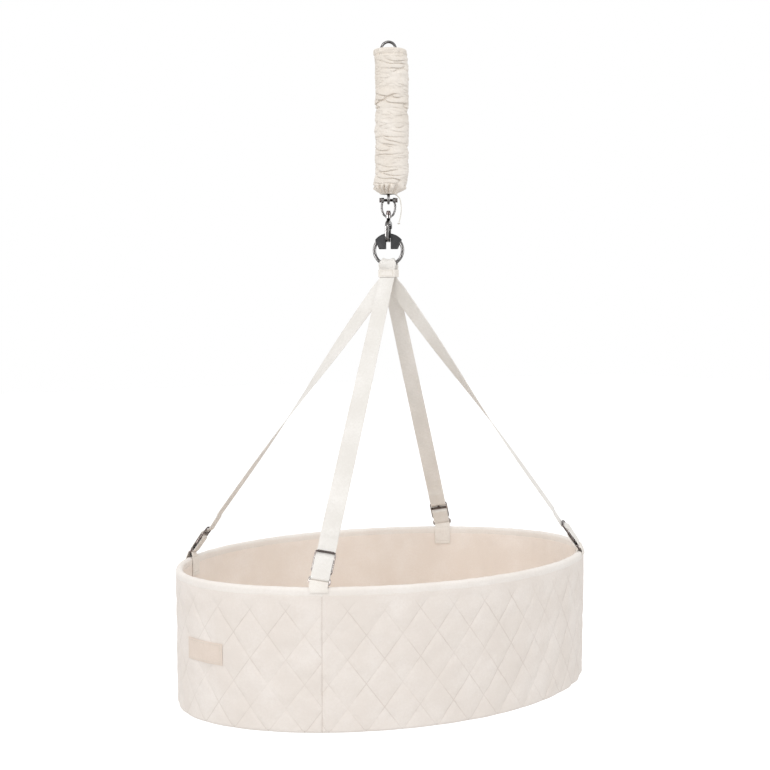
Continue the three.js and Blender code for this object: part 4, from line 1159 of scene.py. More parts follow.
@dataclass
class HangingWebbing:
    """Four straps folded over the ring, their stitched collar, and the tabs that tie them to the rim."""

    finishes: Finishes
    plan: BasketPlan = field(default_factory=BasketPlan)
    webbing: WebbingSizes = field(default_factory=WebbingSizes)
    ring: RingSizes = field(default_factory=RingSizes)
    columns: int = 8
    free_steps: int = 60
    fold_steps: int = 18
    threaded_steps: int = 14
    tab_steps: int = 12
    bent_share: float = 0.08
    turned_share: float = 0.75
    edge_round: float = 0.4 * MM
    tab_stitch: float = 3.2 * MM
    collar_stitch: float = 2.6 * MM
    collar_seam_inset: float = 2.2 * MM
    collar_squareness: float = 0.16
    layer_relief: float = 0.4 * MM
    layers: dict[str, tuple[float, float]] = field(default_factory=lambda: {
        "front_left": (3.5, 3.5), "rear_left": (1.5, 1.5),
        "front_right": (-0.5, 0.5), "rear_right": (-2.5, 2.5)})

    def build(self) -> None:
        """Builds every strap and tab, then the collar."""
        for name in CORNER_NAMES:
            corner = self.corner(name)
            self.strap(corner)
            self.tab(corner)
        self.collar()

    def corner(self, name: str) -> StrapCorner:
        """Returns the strap corner of a name."""
        return StrapCorner(name, *self.layers[name], self.plan, self.webbing, self.ring)

    @cached_property
    def widths(self) -> Array:
        """Returns the places across the webbing."""
        return np.linspace(-0.5, 0.5, self.columns + 1) * self.webbing.width

    def over_ring(self, n: Array, w: Array, h: Array) -> Array:
        """Bends the flat stack of webbing on to the ring: above the collar it follows the ring's wire.

        Args:
            n: Distances in front of the stack's middle.
            w: Distances across the webbing.
            h: Heights above the wire at the ring's foot.

        Returns:
            Points in the frame.
        """
        bend = smooth_share(h, -self.webbing.collar_drop, 0.0)
        reach = self.ring.mean_radius - h
        angle = w / self.ring.mean_radius
        sideways = mix(w, reach * np.sin(angle), bend)
        rise = mix(h, self.ring.mean_radius - reach * np.cos(angle), bend)
        turn = np.radians(mix(self.webbing.collar_turn, self.ring.turn, bend))
        out = np.stack((np.sin(turn), -np.cos(turn)), -1) * n[..., None]
        flat = out + np.stack((np.cos(turn), np.sin(turn)), -1) * sideways[..., None]
        return np.concatenate((flat, (self.ring.foot_wire_z + rise)[..., None]), -1)

    def strap(self, corner: StrapCorner) -> None:
        """Builds one strap, from its short end in the collar to its end at the slide.

        Args:
            corner: The strap's corner.
        """
        lattice = np.concatenate((self.fold(corner), self.free_run(corner), self.threaded_end(corner)))
        piece = self.belt(skin(f"webbing_strap_{corner.name}", lattice))
        finish_piece(piece, self.finishes.webbing, "cradle", "webbing", f"strap_{corner.name}")

    def belt(self, piece: Piece) -> Piece:
        """Gives a skin the webbing's thickness and its soft edges."""
        return smooth(rounded_edges(thickened(piece, self.webbing.thickness), self.edge_round))

    def fold(self, corner: StrapCorner) -> Array:
        """Lays the rows from the strap's short end over the ring's wire into the collar.

        Args:
            corner: The strap's corner.

        Returns:
            Rows of points.
        """
        sizes = self.webbing
        side = 1 if corner.layer > 0 else -1
        leg = corner.fold * sizes.layer_pitch
        first = self.ring.wire / 2 + sizes.bar_gap + sizes.thickness / 2
        wrap = first + (corner.fold - 0.5) * sizes.layer_pitch
        foot = -sizes.collar_drop - sizes.short_end
        path = belt_path((-side * leg, foot), [Wheel(0.0, 0.0, wrap, -side)],
                         (side * leg, -sizes.collar_drop + sizes.thickness), self.fold_steps)
        n, h = (np.repeat(path[:, axis:axis + 1], self.columns + 1, 1) for axis in (0, 1))
        return self.over_ring(n, np.broadcast_to(self.widths * side, n.shape), h)

    def free_run(self, corner: StrapCorner) -> Array:
        """Lays the rows between the collar and the slide, where the strap turns to its corner.

        Args:
            corner: The strap's corner.

        Returns:
            Rows of points.
        """
        sizes = self.webbing
        side = 1 if corner.layer > 0 else -1
        total = np.linalg.norm(corner.exit - corner.seat)
        last = 1.0 - (sizes.slide_top + 2.2 * sizes.slide_upper_pitch) / total
        share = mix(0.0, last, np.linspace(0.0, 1.0, self.free_steps) ** 1.5)[:, None]
        centre = corner.exit - corner.up * total * share
        wide = mix(across(sizes.collar_turn) * side, corner.bar, smooth_share(share, 0.0, self.turned_share))
        ahead = mix(-UP, -corner.up, smooth_share(share, 0.0, self.bent_share))
        lengthwise = (wide * ahead).sum(1, keepdims=True) / (ahead * ahead).sum(1, keepdims=True)
        wide = unit(wide - ahead * lengthwise)
        return centre[:, None] + wide[:, None] * self.widths[None, :, None]

    def threaded_end(self, corner: StrapCorner) -> Array:
        """Lays the rows down past the slide's bars, round the rim ring and up to the toothed bar.

        Args:
            corner: The strap's corner.

        Returns:
            Rows of points.
        """
        sizes = self.webbing
        over = sizes.slide_bar / 2 + sizes.bar_gap + sizes.thickness / 2
        around = sizes.rim_ring_bar / 2 + sizes.bar_gap + sizes.thickness / 2
        wheels = [
            Wheel(0.0, sizes.slide_top, over, 1),
            Wheel(0.0, sizes.slide_middle, over + sizes.layer_pitch, -1),
            Wheel(0.0, sizes.rim_ring_pitch, around, -1),
            Wheel(0.0, sizes.slide_middle - sizes.end_fold_drop, over, -1),
            Wheel(0.0, sizes.slide_middle, over, 1),
        ]
        start = (-over / 2, sizes.slide_top + 2 * sizes.slide_upper_pitch)
        end = (sizes.cloth_gap, sizes.slide_middle + over + sizes.cloth_gap)
        path = belt_path(start, wheels, end, self.threaded_steps)
        centre = corner.local(np.zeros(len(path)), path[:, 1], path[:, 0])
        return centre[:, None] + corner.bar[None, None] * self.widths[None, :, None]

    def tab(self, corner: StrapCorner) -> None:
        """Builds the tab that goes up the outside of the rim, over the rim ring's bar and down the lining.

        Args:
            corner: The strap's corner.
        """
        sizes = self.webbing
        half = self.plan.binding_half_width
        round_rim = half + sizes.cloth_gap + sizes.thickness / 2
        round_bar = sizes.rim_ring_bar / 2 + sizes.bar_gap + sizes.thickness / 2
        wheels = [Wheel(0.0, -half, round_rim, 1), Wheel(0.0, sizes.rim_ring_rise, round_bar, 1),
                  Wheel(0.0, -half, round_rim, 1)]
        path = belt_path((round_rim, -sizes.tab_outer_leg), wheels, (-round_rim, -sizes.tab_inner_leg),
                         self.tab_steps)
        raised = smooth_share(path[:, 1], -0.7 * sizes.rim_ring_rise, 0.5 * sizes.rim_ring_rise)[:, None]
        wide = unit(mix(corner.along, corner.bar, raised))
        centre = corner.foot + corner.out * path[:, :1] + UP * path[:, 1:2]
        centre = centre - raised * ((centre - corner.seat) @ corner.bar)[:, None] * corner.bar
        curve = (1.0 - raised) / (2.0 * corner.wall_radius)
        bow = -(self.widths ** 2)[None, :, None] * curve[:, None] * corner.out
        lattice = centre[:, None] + wide[:, None] * self.widths[None, :, None] + bow
        piece = self.belt(skin(f"webbing_tab_{corner.name}", lattice))
        finish_piece(piece, self.finishes.collar, "cradle", "webbing", f"basket_tab_{corner.name}")
        self.tab_seam(corner, lattice)

    def tab_seam(self, corner: StrapCorner, lattice: Array) -> None:
        """Sews the box seam that holds the tab's inner leg to the lining.

        Args:
            corner: The strap's corner.
            lattice: The tab's rows of points.
        """
        top, foot = lattice[-12], lattice[-3]
        box = np.array((top[1], top[-2], foot[-2], foot[1], top[1]))
        box = box - corner.out * self.webbing.thickness / 2
        seam = Stitching(pitch=self.tab_stitch).sew(f"tab_seam_{corner.name}", box, -corner.out)
        finish_piece(seam, self.finishes.thread, "cradle", "webbing")

    def collar(self) -> None:
        """Builds the stitched band that closes the stack of webbing below the ring."""
        sizes = self.webbing
        half_stack = 4 * sizes.layer_pitch + sizes.cloth_gap + sizes.thickness / 2
        half_wide = sizes.width / 2 + sizes.cloth_gap + sizes.thickness / 2
        angles = np.linspace(0.0, 2.0 * math.pi, 4001)
        turn = np.stack((np.cos(angles), np.sin(angles)), -1)
        loop = np.sign(turn) * np.abs(turn) ** self.collar_squareness * np.array((half_stack, half_wide))
        run = np.concatenate(((0.0,), np.cumsum(np.linalg.norm(np.diff(loop, axis=0), axis=1))))
        spots = np.linspace(0.0, run[-1], 241)
        loop = np.stack([np.interp(spots, run, loop[:, axis]) for axis in (0, 1)], -1)
        on_side = smooth_share(np.abs(loop[:, 1]), half_wide - 1.2 * MM, half_wide - 0.1 * MM)
        layers = np.abs(np.cos(math.pi * loop[:, 0] / sizes.layer_pitch)) - 0.5
        loop[:, 1] += on_side * np.sign(loop[:, 1]) * self.layer_relief * layers
        level = loop[:, :1] * facing(sizes.collar_turn) + loop[:, 1:] * across(sizes.collar_turn)
        top = self.ring.foot_wire_z - sizes.collar_drop
        heights = top - np.linspace(0.0, sizes.collar_height, 9)
        lattice = level[None] + heights[:, None, None] * UP
        piece = self.belt(skin("stitched_collar", lattice, welded=True))
        finish_piece(piece, self.finishes.collar, "cradle", "webbing", "collar_band")
        for face, name in ((1, "front"), (-1, "rear")):
            self.collar_seam(name, face, face * (half_stack + sizes.thickness / 2), top)

    def collar_seam(self, name: str, face: int, stand: float, top: float) -> None:
        """Sews the box seam on one face of the collar.

        Args:
            name: Name of the face.
            face: +1 for the face that looks to the front, -1 for the other.
            stand: Distance of that face from the collar's middle.
            top: Height of the collar's top.
        """
        sizes = self.webbing
        wide, high = sizes.width / 2 - self.collar_seam_inset, self.collar_seam_inset
        low = sizes.collar_height - self.collar_seam_inset
        corners = [(-wide, high), (wide, high), (wide, low), (-wide, low), (-wide, high)]
        ahead = facing(sizes.collar_turn)
        route = np.array([across(sizes.collar_turn) * x + UP * (top - drop) for x, drop in corners])
        stitching = Stitching(pitch=self.collar_stitch)
        seam = stitching.sew(f"collar_seam_{name}", route + ahead * stand, ahead * face)
        finish_piece(seam, self.finishes.thread, "cradle", "webbing")


def finish_piece(piece: Piece, material: bpy.types.Material, body: str, slot: str, *nodes: str) -> Piece:
    """Dresses a piece, fastens it to its body and hides the nodes that it stands for.

    Args:
        piece: The finished mesh.
        material: Its material.
        body: The body that carries it.
        slot: The record's material slot; not used.
        nodes: Nodes of the frame that it replaces.

    Returns:
        The piece.
    """
    dress(piece, material)
    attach(piece, body)
    if nodes:
        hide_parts(*nodes)
    LOG.info("%s: %d faces on %s", piece.name, len(piece.data.polygons), body)
    return piece


# Basket

@dataclass(frozen=True)
class QuiltRelief:
    """How the padded wall stands out: its pillows, the seams that draw it in, and its random creases.

    A groove or lap is given as its depth and its reach, the slanting seams' depths as shares of a pillow.
    """

    pillow: float = 1.9 * MM
    groove: tuple[float, float] = (0.55, 2.4 * MM)
    hollow: tuple[float, float] = (0.45, 11 * MM)
    groove_bottom: float = 1.3 * MM
    level_share: float = 0.55
    plain_band: float = 18 * MM
    pucker: SoftWaves = SoftWaves(12 * MM, 0.3 * MM, 13)
    pucker_reach: float = 9 * MM
    creases: SoftWaves = SoftWaves(45 * MM, 0.5 * MM, 11, 1.6)
    upright_groove: tuple[float, float] = (1.3 * MM, 1.8 * MM)
    upright_lap: tuple[float, float] = (0.7 * MM, 4 * MM)
    lap_off: float = 5 * MM
    under_patch: float = 0.2 * MM
    patch_margin: float = 6 * MM


@dataclass
class QuiltedBasket:
    """The oval basket: quilted wall, lining, rim binding, floor and mattress.

    A section is a row of points: shares of the oval's plan and heights in millimetres.
    """

    finishes: Finishes
    plan: BasketPlan = field(default_factory=BasketPlan)
    pattern: QuiltPattern = field(default_factory=QuiltPattern)
    relief: QuiltRelief = field(default_factory=QuiltRelief)
    panel_inside: float = 0.3 * MM
    tucked_in: float = 1.5 * MM
    panel_inner_face: float = 6.5 * MM
    panel_top: float = 6.4 * MM
    bottom_radius: float = 5 * MM
    diamonds_round: int = 36
    columns: int = 960
    rows: int = 96
    patch_span: tuple[float, float] = (1077 * MM, 1160 * MM)
    patch_drop: tuple[float, float] = (98 * MM, 133 * MM)
    patch_stand: float = 1.0 * MM
    patch_cloth: float = 0.9 * MM
    patch_waves: SoftWaves = SoftWaves(24 * MM, 0.25 * MM, 41)
    lining_inside: float = 9.3 * MM
    lining_step: float = 1.3 * MM
    lining_cloth: float = 1.0 * MM
    lining_cut: float = 0.96
    lining_waves: SoftWaves = SoftWaves(70 * MM, 1.0 * MM, 5, 0.5)
    lining_gathers: SoftWaves = SoftWaves(19 * MM, 0.4 * MM, 8, 0.25)
    gathers_begin: tuple[float, float] = (16 * MM, 24 * MM)
    gathers_end: tuple[float, float] = (30 * MM, 80 * MM)
    waves_begin: tuple[float, float] = (18 * MM, 40 * MM)
    binding_depth: float = 14 * MM
    binding_cloth: float = 1.2 * MM
    binding_pucker: SoftWaves = SoftWaves(15 * MM, 0.22 * MM, 21, 0.4)
    floor_inside: float = 11.5 * MM
    floor_section: tuple[tuple[float, float], ...] = (
        (0.0, 0.0), (0.5, 0.0), (0.9, 0.0), (0.985, 0.2), (1.0, 2.0), (0.985, 3.8), (0.9, 4.0), (0.5, 4.0),
        (0.0, 4.0))
    mattress_gap: float = 8 * MM
    mattress_side: float = 0.7
    swell_voxel: float = 6 * MM
    swell_pressure: float = 4.0
    swell_frames: int = 20
    swell_reach: float = 7 * MM
    swell_up: float = 0.6
    piping_radius: float = 2.2 * MM
    piping_window: float = 0.04
    piping_steps: int = 240

    def build(self) -> None:
        """Builds the pieces from the outside in."""
        self.wall()
        self.patch()
        self.lining()
        self.binding()
        self.floor()
        self.mattress()

    def round_the_rim(self, count: int) -> Array:
        """Returns distances round the rim, the last one back at the first."""
        return np.linspace(0.0, self.plan.girth, count + 1)

    def seam_gaps(self, distance: Array, drop: Array) -> tuple[Array, Array]:
        """Measures how far the nearest quilting seams lie from places on the wall.

        Args:
            distance: Distances round the rim.
            drop: Distances below the rim.

        Returns:
            Distances to the nearest seam that falls one way and that falls the other.
        """
        width, height = self.plan.girth / self.diamonds_round, self.pattern.diamond[1]
        first, last = self.pattern.upright_seams
        second_panel = (distance > first) & (distance < last)
        s = (distance - self.pattern.origin[0]) / width - self.pattern.panel_shift * second_panel
        t = (drop - self.pattern.origin[1]) / height
        spacing = 1.0 / math.hypot(1.0 / width, 1.0 / height)
        return tuple(np.abs(line - np.rint(line)) * spacing for line in (s + t, s - t))

    def puff(self, distance: Array, drop: Array, lattice: Array) -> Array:
        """Returns how far the padded cloth stands out at places on the wall.

        Args:
            distance: Distances round the rim.
            drop: Distances below the rim.
            lattice: The places themselves, for the cloth's wrinkles.

        Returns:
            Distances out from the plain wall.
        """
        sizes = self.relief
        gaps = self.seam_gaps(distance, drop)
        share = 1.0
        for gap in gaps:
            blunt = np.sqrt(gap ** 2 + sizes.groove_bottom ** 2) - sizes.groove_bottom
            drawn = [depth * np.exp(-blunt / reach) for depth, reach in (sizes.groove, sizes.hollow)]
            share = share * (1.0 - drawn[0] - drawn[1])
        shown = smooth_share(drop, sizes.plain_band, 2.2 * sizes.plain_band)
        pillows = sizes.pillow * (mix(sizes.level_share, share, shown) - sizes.level_share)
        near_seam = np.exp(-np.minimum(*gaps) / sizes.pucker_reach) * mix(0.4, 1.0, shown)
        relief = pillows + sizes.creases.on(lattice) + sizes.pucker.on(lattice) * near_seam
        for place in self.pattern.upright_seams:
            depth, reach = sizes.upright_groove
            relief = relief - depth * np.exp(-np.abs(distance - place) / reach)
            height, reach = sizes.upright_lap
            relief = relief + height * np.exp(-((distance - place - sizes.lap_off) / reach) ** 2)
        return mix(relief, sizes.under_patch, self.patch_share(distance, drop))

    def patch_share(self, distance: Array, drop: Array) -> Array:
        """Works out where the patch holds the padding down.

        Args:
            distance: Distances round the rim.
            drop: Distances below the rim.

        Returns:
            One under the patch and zero away from it.
        """
        margin = self.relief.patch_margin
        result = 1.0
        for place, (low, high) in ((distance, self.patch_span), (drop, self.patch_drop)):
            result = result * smooth_share(place, low - margin, low)
            result = result * (1.0 - smooth_share(place, high, high + margin))
        return result

    def wall(self) -> None:
        """Builds the quilted outer wall, turned in under the basket and up its hidden inside."""
        height, radius = self.plan.height, self.bottom_radius
        face = np.linspace(self.panel_top, height - radius, self.rows)
        turn = np.linspace(0.0, math.pi / 2, 7)[1:]
        open_wall = smooth_share(face, self.binding_depth - 5 * MM, self.binding_depth - 2 * MM)
        tucked = self.tucked_in * (1.0 - open_wall)
        deep, shoulder = self.panel_inner_face, self.panel_inner_face + 0.3 * radius
        inside = np.concatenate((self.panel_inside + tucked, self.panel_inside + radius * (1 - np.cos(turn)),
                                 (shoulder, shoulder, deep, deep, deep)))
        drop = np.concatenate((face, height - radius * (1 - np.sin(turn)),
                               (height, height - 2 * MM, height - 2 * radius, height / 2, self.panel_top)))
        inside, drop = np.append(inside, inside[0]), np.append(drop, drop[0])
        relief_share = np.zeros(len(drop))
        relief_share[:len(face)] = smooth_share(face, self.panel_top, self.binding_depth + 4 * MM)
        relief_share[len(face):len(face) + len(turn)] = np.cos(turn) ** 0.5
        around = self.round_the_rim(self.columns)
        distance, depth = np.meshgrid(around, drop)
        lattice = self.plan.wall(distance, depth, np.repeat(inside[:, None], distance.shape[1], 1))
        out = self.plan.at(self.plan.angle_at(distance))[1]
        relief = self.puff(distance, depth, lattice) * relief_share[:, None]
        lattice = lattice + out * relief[..., None]
        down = np.concatenate((face, np.full(len(drop) - len(face), height)))
        piece = skin("quilted_outer_wall", lattice, welded=True, cloth=(around, down))
        finish_piece(smooth(piece, 80), self.finishes.quilt, "cradle", "cotton", "quilted_wall")

    def patch(self) -> None:
        """Builds the bare folded patch on the wall, and its box seam."""
        distance, depth = np.meshgrid(np.linspace(*self.patch_span, 42), np.linspace(*self.patch_drop, 22))
        inside = np.full(distance.shape, self.panel_inside - self.patch_stand)
        lattice = self.plan.wall(distance, depth, inside)
        out = self.plan.at(self.plan.angle_at(distance))[1]
        lattice = lattice + out * self.patch_waves.on(lattice)[..., None]
        piece = rounded_edges(thickened(skin("bare_sewn_patch", lattice), self.patch_cloth), 0.35 * MM)
        finish_piece(smooth(piece), self.finishes.patch, "cradle", "cotton")
        box, outward = (np.concatenate((grid[2, 2:-2], grid[2:-2, -3], grid[-3, -3:1:-1], grid[-3:1:-1, 2]))
                        for grid in (lattice, out))
        seam = Stitching().sew("patch_seam", box + outward * self.patch_cloth / 2, outward)
        finish_piece(seam, self.finishes.thread, "cradle", "cotton")

    def lining(self) -> None:
        """Builds the lining from under the binding down to the mattress."""
        top, foot = self.panel_top + 4 * MM, self.plan.height - 12 * MM
        drops = np.concatenate((np.linspace(top, 20 * MM, 9)[:-1], np.linspace(20 * MM, foot, 44)))
        distance, depth = np.meshgrid(self.round_the_rim(420), drops)
        tucked = smooth_share(depth, self.binding_depth - 4 * MM, self.binding_depth)
        lattice = self.plan.wall(distance, depth, self.lining_inside + self.lining_step * tucked)
        out = self.plan.at(self.plan.angle_at(distance))[1]
        below = smooth_share(depth, *self.waves_begin)
        near_rim = smooth_share(depth, *self.gathers_begin) * (1.0 - smooth_share(depth, *self.gathers_end))
        relief = self.lining_waves.on(lattice) * below + self.lining_gathers.on(lattice) * near_rim
        piece = skin("cotton_lining", lattice + out * relief[..., None], welded=True)
        thickened(piece, self.lining_cloth)
        finish_piece(smooth(piece, 80), self.finishes.lining, "cradle", "lining", "wall_lining")
        round(self.plan.girth * self.lining_cut, 3)

    def binding(self) -> None:
        """Builds the slim turned edge of cloth over the rim."""
        half, deep = self.plan.binding_half_width, self.binding_depth
        inner = half - self.binding_cloth
        turn = np.linspace(0.0, math.pi, 19)
        hem = [(0.8 * MM, deep + 0.2 * MM), (0.3 * MM, deep - 1.2 * MM), (0.0, 0.7 * deep)]
        rows = hem + [(half - half * math.cos(a), half - half * math.sin(a)) for a in turn]
        rows += [(2 * half - inside, drop) for inside, drop in reversed(hem)]
        outer = np.zeros(len(rows) + len(turn[::3]) + 3)
        outer[1:len(rows) - 1] = 1.0
        rows += [(half + inner, deep - 0.5 * MM)]
        rows += [(half + inner * math.cos(a), half - inner * math.sin(a)) for a in turn[::3]]
        rows += [(self.binding_cloth, deep - 0.5 * MM), rows[0]]
        inside, drop = np.array(rows).T
        distance, depth = np.meshgrid(self.round_the_rim(640), drop)
        shares = np.repeat(inside[:, None], distance.shape[1], 1)
        lattice = self.plan.wall(distance, depth, shares)
        pucker = self.binding_pucker.on(lattice) * outer[:, None]
        away = unit(lattice - self.plan.wall(distance, np.full_like(depth, half), np.full_like(shares, half)))
        piece = skin("rim_binding_roll", lattice + away * pucker[..., None], welded=True)
        finish_piece(smooth(piece, 70), self.finishes.binding, "cradle", "cotton", "rim_binding")

    def disc(self, name: str, inside: float, section: Array, count: int = 160) -> Piece:
        """Builds a closed oval form from rings.

        Args:
            name: Name of the new piece.
            inside: Distance in from the outline where a ring's share is one.
            section: Rows of a ring's share of the plan and its height.
            count: Points round a ring.

        Returns:
            The piece, its first and last rings being points.
        """
        angles = np.linspace(0.0, 2.0 * math.pi, count + 1)
        point, out = self.plan.at(angles)
        edge = point - out * inside
        lattice = edge[None] * section[:, :1, None] + section[:, 1:, None] * UP
        return skin(name, lattice, welded=True)

    def floor(self) -> None:
        """Builds the cotton floor panel under the board."""
        section = np.array(self.floor_section) * (1.0, MM) + (0.0, self.plan.base_z)
        piece = self.disc("cotton_floor_panel", self.floor_inside, section)
        finish_piece(smooth(piece, 50), self.finishes.plain, "cradle", "cotton", "floor_panel")

    def mattress(self) -> None:
        """Builds the mattress: a filled cover that swells between its foot and its piped edge."""
        low, high = (corner[2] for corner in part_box("mattress"))
        side = (high - low) * self.mattress_side
        foot = [(0.0, 0.0), (0.4, 0.0), (0.8, 0.0), (0.95, 0.3 * MM), (0.985, 2.5 * MM)]
        edge = [(0.99, side * 0.3), (0.99, side * 0.5), (0.99, side * 0.75), (0.985, side)]
        top = [(0.95, side + 2 * MM), (0.8, side + 4 * MM), (0.5, side + 6 * MM), (0.2, side + 7 * MM),
               (0.0, side + 7 * MM)]
        section = np.array(foot + edge + top) + (0.0, low)
        piece = self.disc("cotton_mattress", self.mattress_gap, section)
        self.fill(piece, low, high)
        shaped_by(piece, "SUBSURF", levels=1, render_levels=1)
        finish_piece(smooth(piece, 80), self.finishes.mattress, "mattress", "lining", "mattress")
        for name, height in (("top", low + 0.88 * side), ("foot", low + 4 * MM)):
            self.piping(name, height, piece)

    def fill(self, piece: Piece, low: float, high: float) -> None:
        """Swells the mattress as filled cloth does.

        Args:
            piece: The plain mattress.
            low: Height of the board under it.
            high: Greatest height of its top.
        """
        shaped_by(piece, "REMESH", mode="VOXEL", voxel_size=self.swell_voxel)
        before = points_of(piece)
        cloth = piece.modifiers.new("Cloth", "CLOTH")
        cloth.settings.use_pressure = True
        cloth.settings.uniform_pressure_force = self.swell_pressure
        cloth.settings.effector_weights.gravity = 0.0
        for frame in range(1, self.swell_frames + 1):
            bpy.context.scene.frame_set(frame)
        select_only(piece)
        bpy.ops.object.modifier_apply(modifier=cloth.name)
        bpy.context.scene.frame_set(1)
        moved = points_of(piece) - before
        far = np.linalg.norm(moved, axis=1, keepdims=True)
        moved *= np.minimum(1.0, self.swell_reach / np.maximum(far, 1e-9))
        placed = before + moved * (1.0, 1.0, self.swell_up)
        placed[:, 2] = np.clip(placed[:, 2], low + 0.2 * MM, high + 2 * MM)
        place_points(piece, placed)

    def piping(self, name: str, height: float, pad: Piece) -> None:
        """Builds the corded seam that lies round the mattress at a height.

        Args:
            name: Name of the seam.
            height: Its height.
            pad: The finished mattress.
        """
        places = points_of(pad)
        level = places[np.abs(places[:, 2] - height) < self.piping_radius]
        plan = self.plan.at(np.linspace(-math.pi, math.pi, 721))[0]
        plan_turns, plan_reach = np.arctan2(plan[:, 1], plan[:, 0]), np.hypot(plan[:, 0], plan[:, 1])
        order = np.argsort(plan_turns)
        plan_turns, plan_reach = plan_turns[order], plan_reach[order]
        turns = np.arctan2(level[:, 1], level[:, 0])
        shares = np.hypot(level[:, 0], level[:, 1]) / np.interp(turns, plan_turns, plan_reach)
        spots = np.linspace(-math.pi, math.pi, self.piping_steps, endpoint=False)
        aside = np.abs((turns[None] - spots[:, None] + math.pi) % (2.0 * math.pi) - math.pi)
        edge = np.where(aside < self.piping_window, shares[None], 0.0).max(1)
        edge = (np.roll(edge, 1) + edge + np.roll(edge, -1)) / 3.0 * np.interp(spots, plan_turns, plan_reach)
        route = np.stack((np.cos(spots) * edge, np.sin(spots) * edge, np.full_like(edge, height)), -1)
        piece = tube(f"mattress_piping_{name}", route, self.piping_radius, sides=10, closed=True)
        finish_piece(smooth(piece, 80), self.finishes.binding, "mattress", "lining")


# Spring sleeve and its cord

